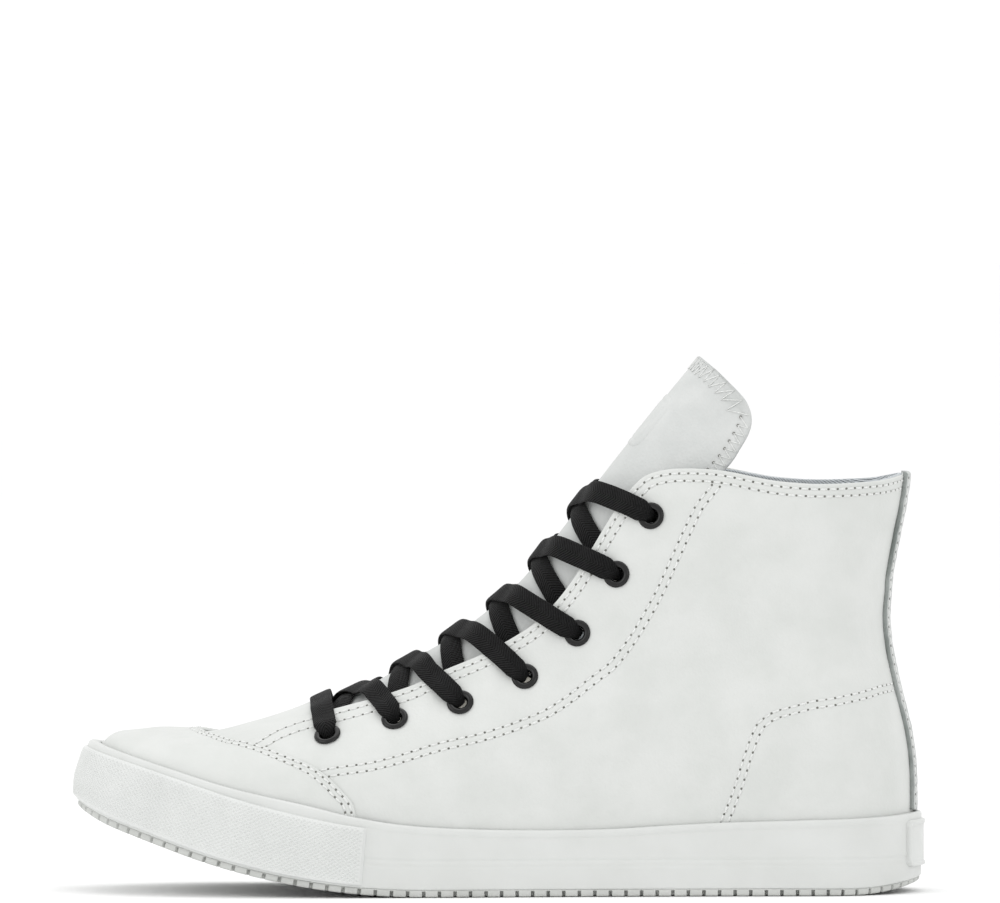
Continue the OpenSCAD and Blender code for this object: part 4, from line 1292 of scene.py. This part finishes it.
def lace_strand(bag, points, normals, ends, seed):
    """Points run along the strand's middle; ends holds what each end does at its eyelet."""
    for end, step in zip(ends, (1, -1)):
        if end is None:
            continue
        eyelet, side, level, bottom, clear = end
        points, normals = points[::step], normals[::step]
        centre = eyelet_axis(eyelet, side)[0]
        cut = np.argmax(np.linalg.norm(points - centre - normals, axis=-1) > clear)
        points, normals = points[cut:], normals[cut:]
        bent = dive(points[0], eyelet, side, level, bottom)[:0:-1]
        points = np.concatenate([bent, points])[::step]
        normals = np.concatenate([np.repeat(normals[:1], len(bent), 0), normals])[::step]
    run = lengths(points)
    at = np.linspace(0, run[-1], int(run[-1] / 0.7))
    points, normals = resample(points, at, normals)
    flat_run = square_to(heading(points), normals)
    strength = np.linalg.norm(flat_run, axis=-1)
    across = np.cross(normals, flat_run)
    good = strength > 0.35
    first_good, last_good = np.argmax(good), len(good) - 1 - np.argmax(good[::-1])
    across[:first_good] = across[first_good]
    across[last_good:] = across[last_good]
    across = unit(across)
    squeeze = np.ones(len(at))
    for end, off in zip(ends, (at, at[-1] - at)):
        if end is not None:
            squeeze = np.minimum(squeeze, 0.5 + 0.5 * smooth((off - 2.5) / 5.5))
    width = LACE_W * squeeze * (1 + 0.015 * ripple(at, 0 * at, seed, 12))
    thick = LACE_T * (1 + 0.45 * (1 - squeeze) / 0.5) * (1 + 0.03 * ripple(at, 0 * at, seed + 1, 6))
    tilt = 0.05 * ripple(at, 0 * at, seed + 2, 25)[:, None]
    ribbon(bag, points, across + tilt * normals, width, thick)
    return run[-1]


# At an eyelet: the strand's level, the level it dives to and how far off it starts to bend
FROM_ABOVE = (ON_QUARTER, -0.4, 4.2)
FROM_BELOW = (UNDER_LACE, 1.4, 4.6)
ALONG = shares(160)


def over_throat(start, stop, lift):
    """A strand's points and normals between two [s, w] places over the instep."""
    s, w = mix(np.array(start), np.array(stop), ALONG[:, None]).T
    return over_instep(s, w, lift), instep_normal(s, w, 0.0)


lace = Bag()
first_s, first_w = EYELET_AT[0]
lace_length = lace_strand(
    lace, *over_throat([first_s, -first_w], [first_s, first_w], bar_lift(ALONG)),
    [(EYELET_AT[0], side, *FROM_ABOVE) for side in (LATERAL, MEDIAL)], 70)
for k, (a, b) in enumerate(zip(EYELET_AT[:-1], EYELET_AT[1:])):
    for side in (LATERAL, MEDIAL):
        lace_length += lace_strand(
            lace, *over_throat([a[0], side * a[1]], [b[0], -side * b[1]],
                               strand_lift(ALONG, side == MEDIAL)),
            [(a, side, *FROM_BELOW), (b, -side, *FROM_ABOVE)], 80 + 10 * k + int(side))
piece("lace_crossings", lace.mesh(), lace_cloth, stands_for=["lace"],
      extra=lace.cloth())

tails, tips = Bag(), Bag()
for side in (LATERAL, MEDIAL):
    route = (*along(TAIL_ROUTE, ALONG).T, UNDER_LACE, side)
    lace_length += lace_strand(tails, on_last(*route), normal_at(*route),
                               [(EYELET_AT[-1], side, *FROM_BELOW), None], 170 + int(side))
    start = TAIL_ROUTE[-1]
    a = on_last(start[0] - 1.5, start[1] + 0.5, UNDER_LACE - 0.7, side)
    b = on_last(AGLET_END[0], AGLET_END[1], UNDER_LACE - 0.9, side)
    t = shares(24)[:, None]
    along_tip = mix(a, b, t)
    from_end = np.minimum(t[:, 0], 1 - t[:, 0])
    width = 2 * AGLET_R * rounded(from_end / 0.06 + 0.15)
    up = np.tile(normal_at(*start, UNDER_LACE, side), (24, 1))
    ribbon(tips, along_tip, np.cross(up, b - a), width, width, flat=1.0)
piece("lace_ends", tails.mesh(), lace_cloth, stands_for=["lace"],
      extra=tails.cloth())
piece("lace_tips", tips.mesh(), aglet_plastic, stands_for=["aglets"])

# ---- floor, world and lights ----
floor_mesh = bpy.data.meshes.new("floor")
FLOOR_HALF, FLOOR_Z = 30.0, -0.0002
floor_mesh.from_pydata(
    [(x * FLOOR_HALF, y * FLOOR_HALF, FLOOR_Z) for x, y in ((-1, -1), (1, -1), (1, 1), (-1, 1))],
    [], [(0, 1, 2, 3)])
floor_look = shader("floor_white", (0.93, 0.93, 0.93), 0.9, Specular_IOR_Level=0.1)
tint(floor_look, noise(floor_look, 2.0), 0.3, 0.7, ((0.93, 0.93, 0.93), (0.94, 0.94, 0.94)))
floor_mesh.materials.append(floor_look)
floor = bpy.data.objects.new("floor", floor_mesh)
put(floor)

world = bpy.data.worlds.new("studio")
world.use_nodes = True
world.node_tree.nodes["Background"].inputs["Color"].default_value = (1, 1, 1, 1)
world.node_tree.nodes["Background"].inputs["Strength"].default_value = 1.08
bpy.context.scene.world = world


def softbox(name, at, size, power):
    data = bpy.data.lights.new(name, "AREA")
    data.shape = "RECTANGLE"
    data.size, data.size_y = size
    data.energy = power
    light = bpy.data.objects.new(name, data)
    light.location = at
    target = Vector((0, 0, 0.08))
    light.rotation_euler = (target - Vector(at)).to_track_quat("-Z", "Y").to_euler()
    put(light)


softbox("top_box", (0.1, 0.1, 1.6), (1.6, 1.2), 5.0)
softbox("left_box", (-1.3, -0.9, 0.9), (1.0, 1.0), 3.2)
softbox("front_box", (0.9, -1.6, 0.7), (0.8, 0.8), 1.4)
bpy.context.scene.view_settings.view_transform = "Standard"
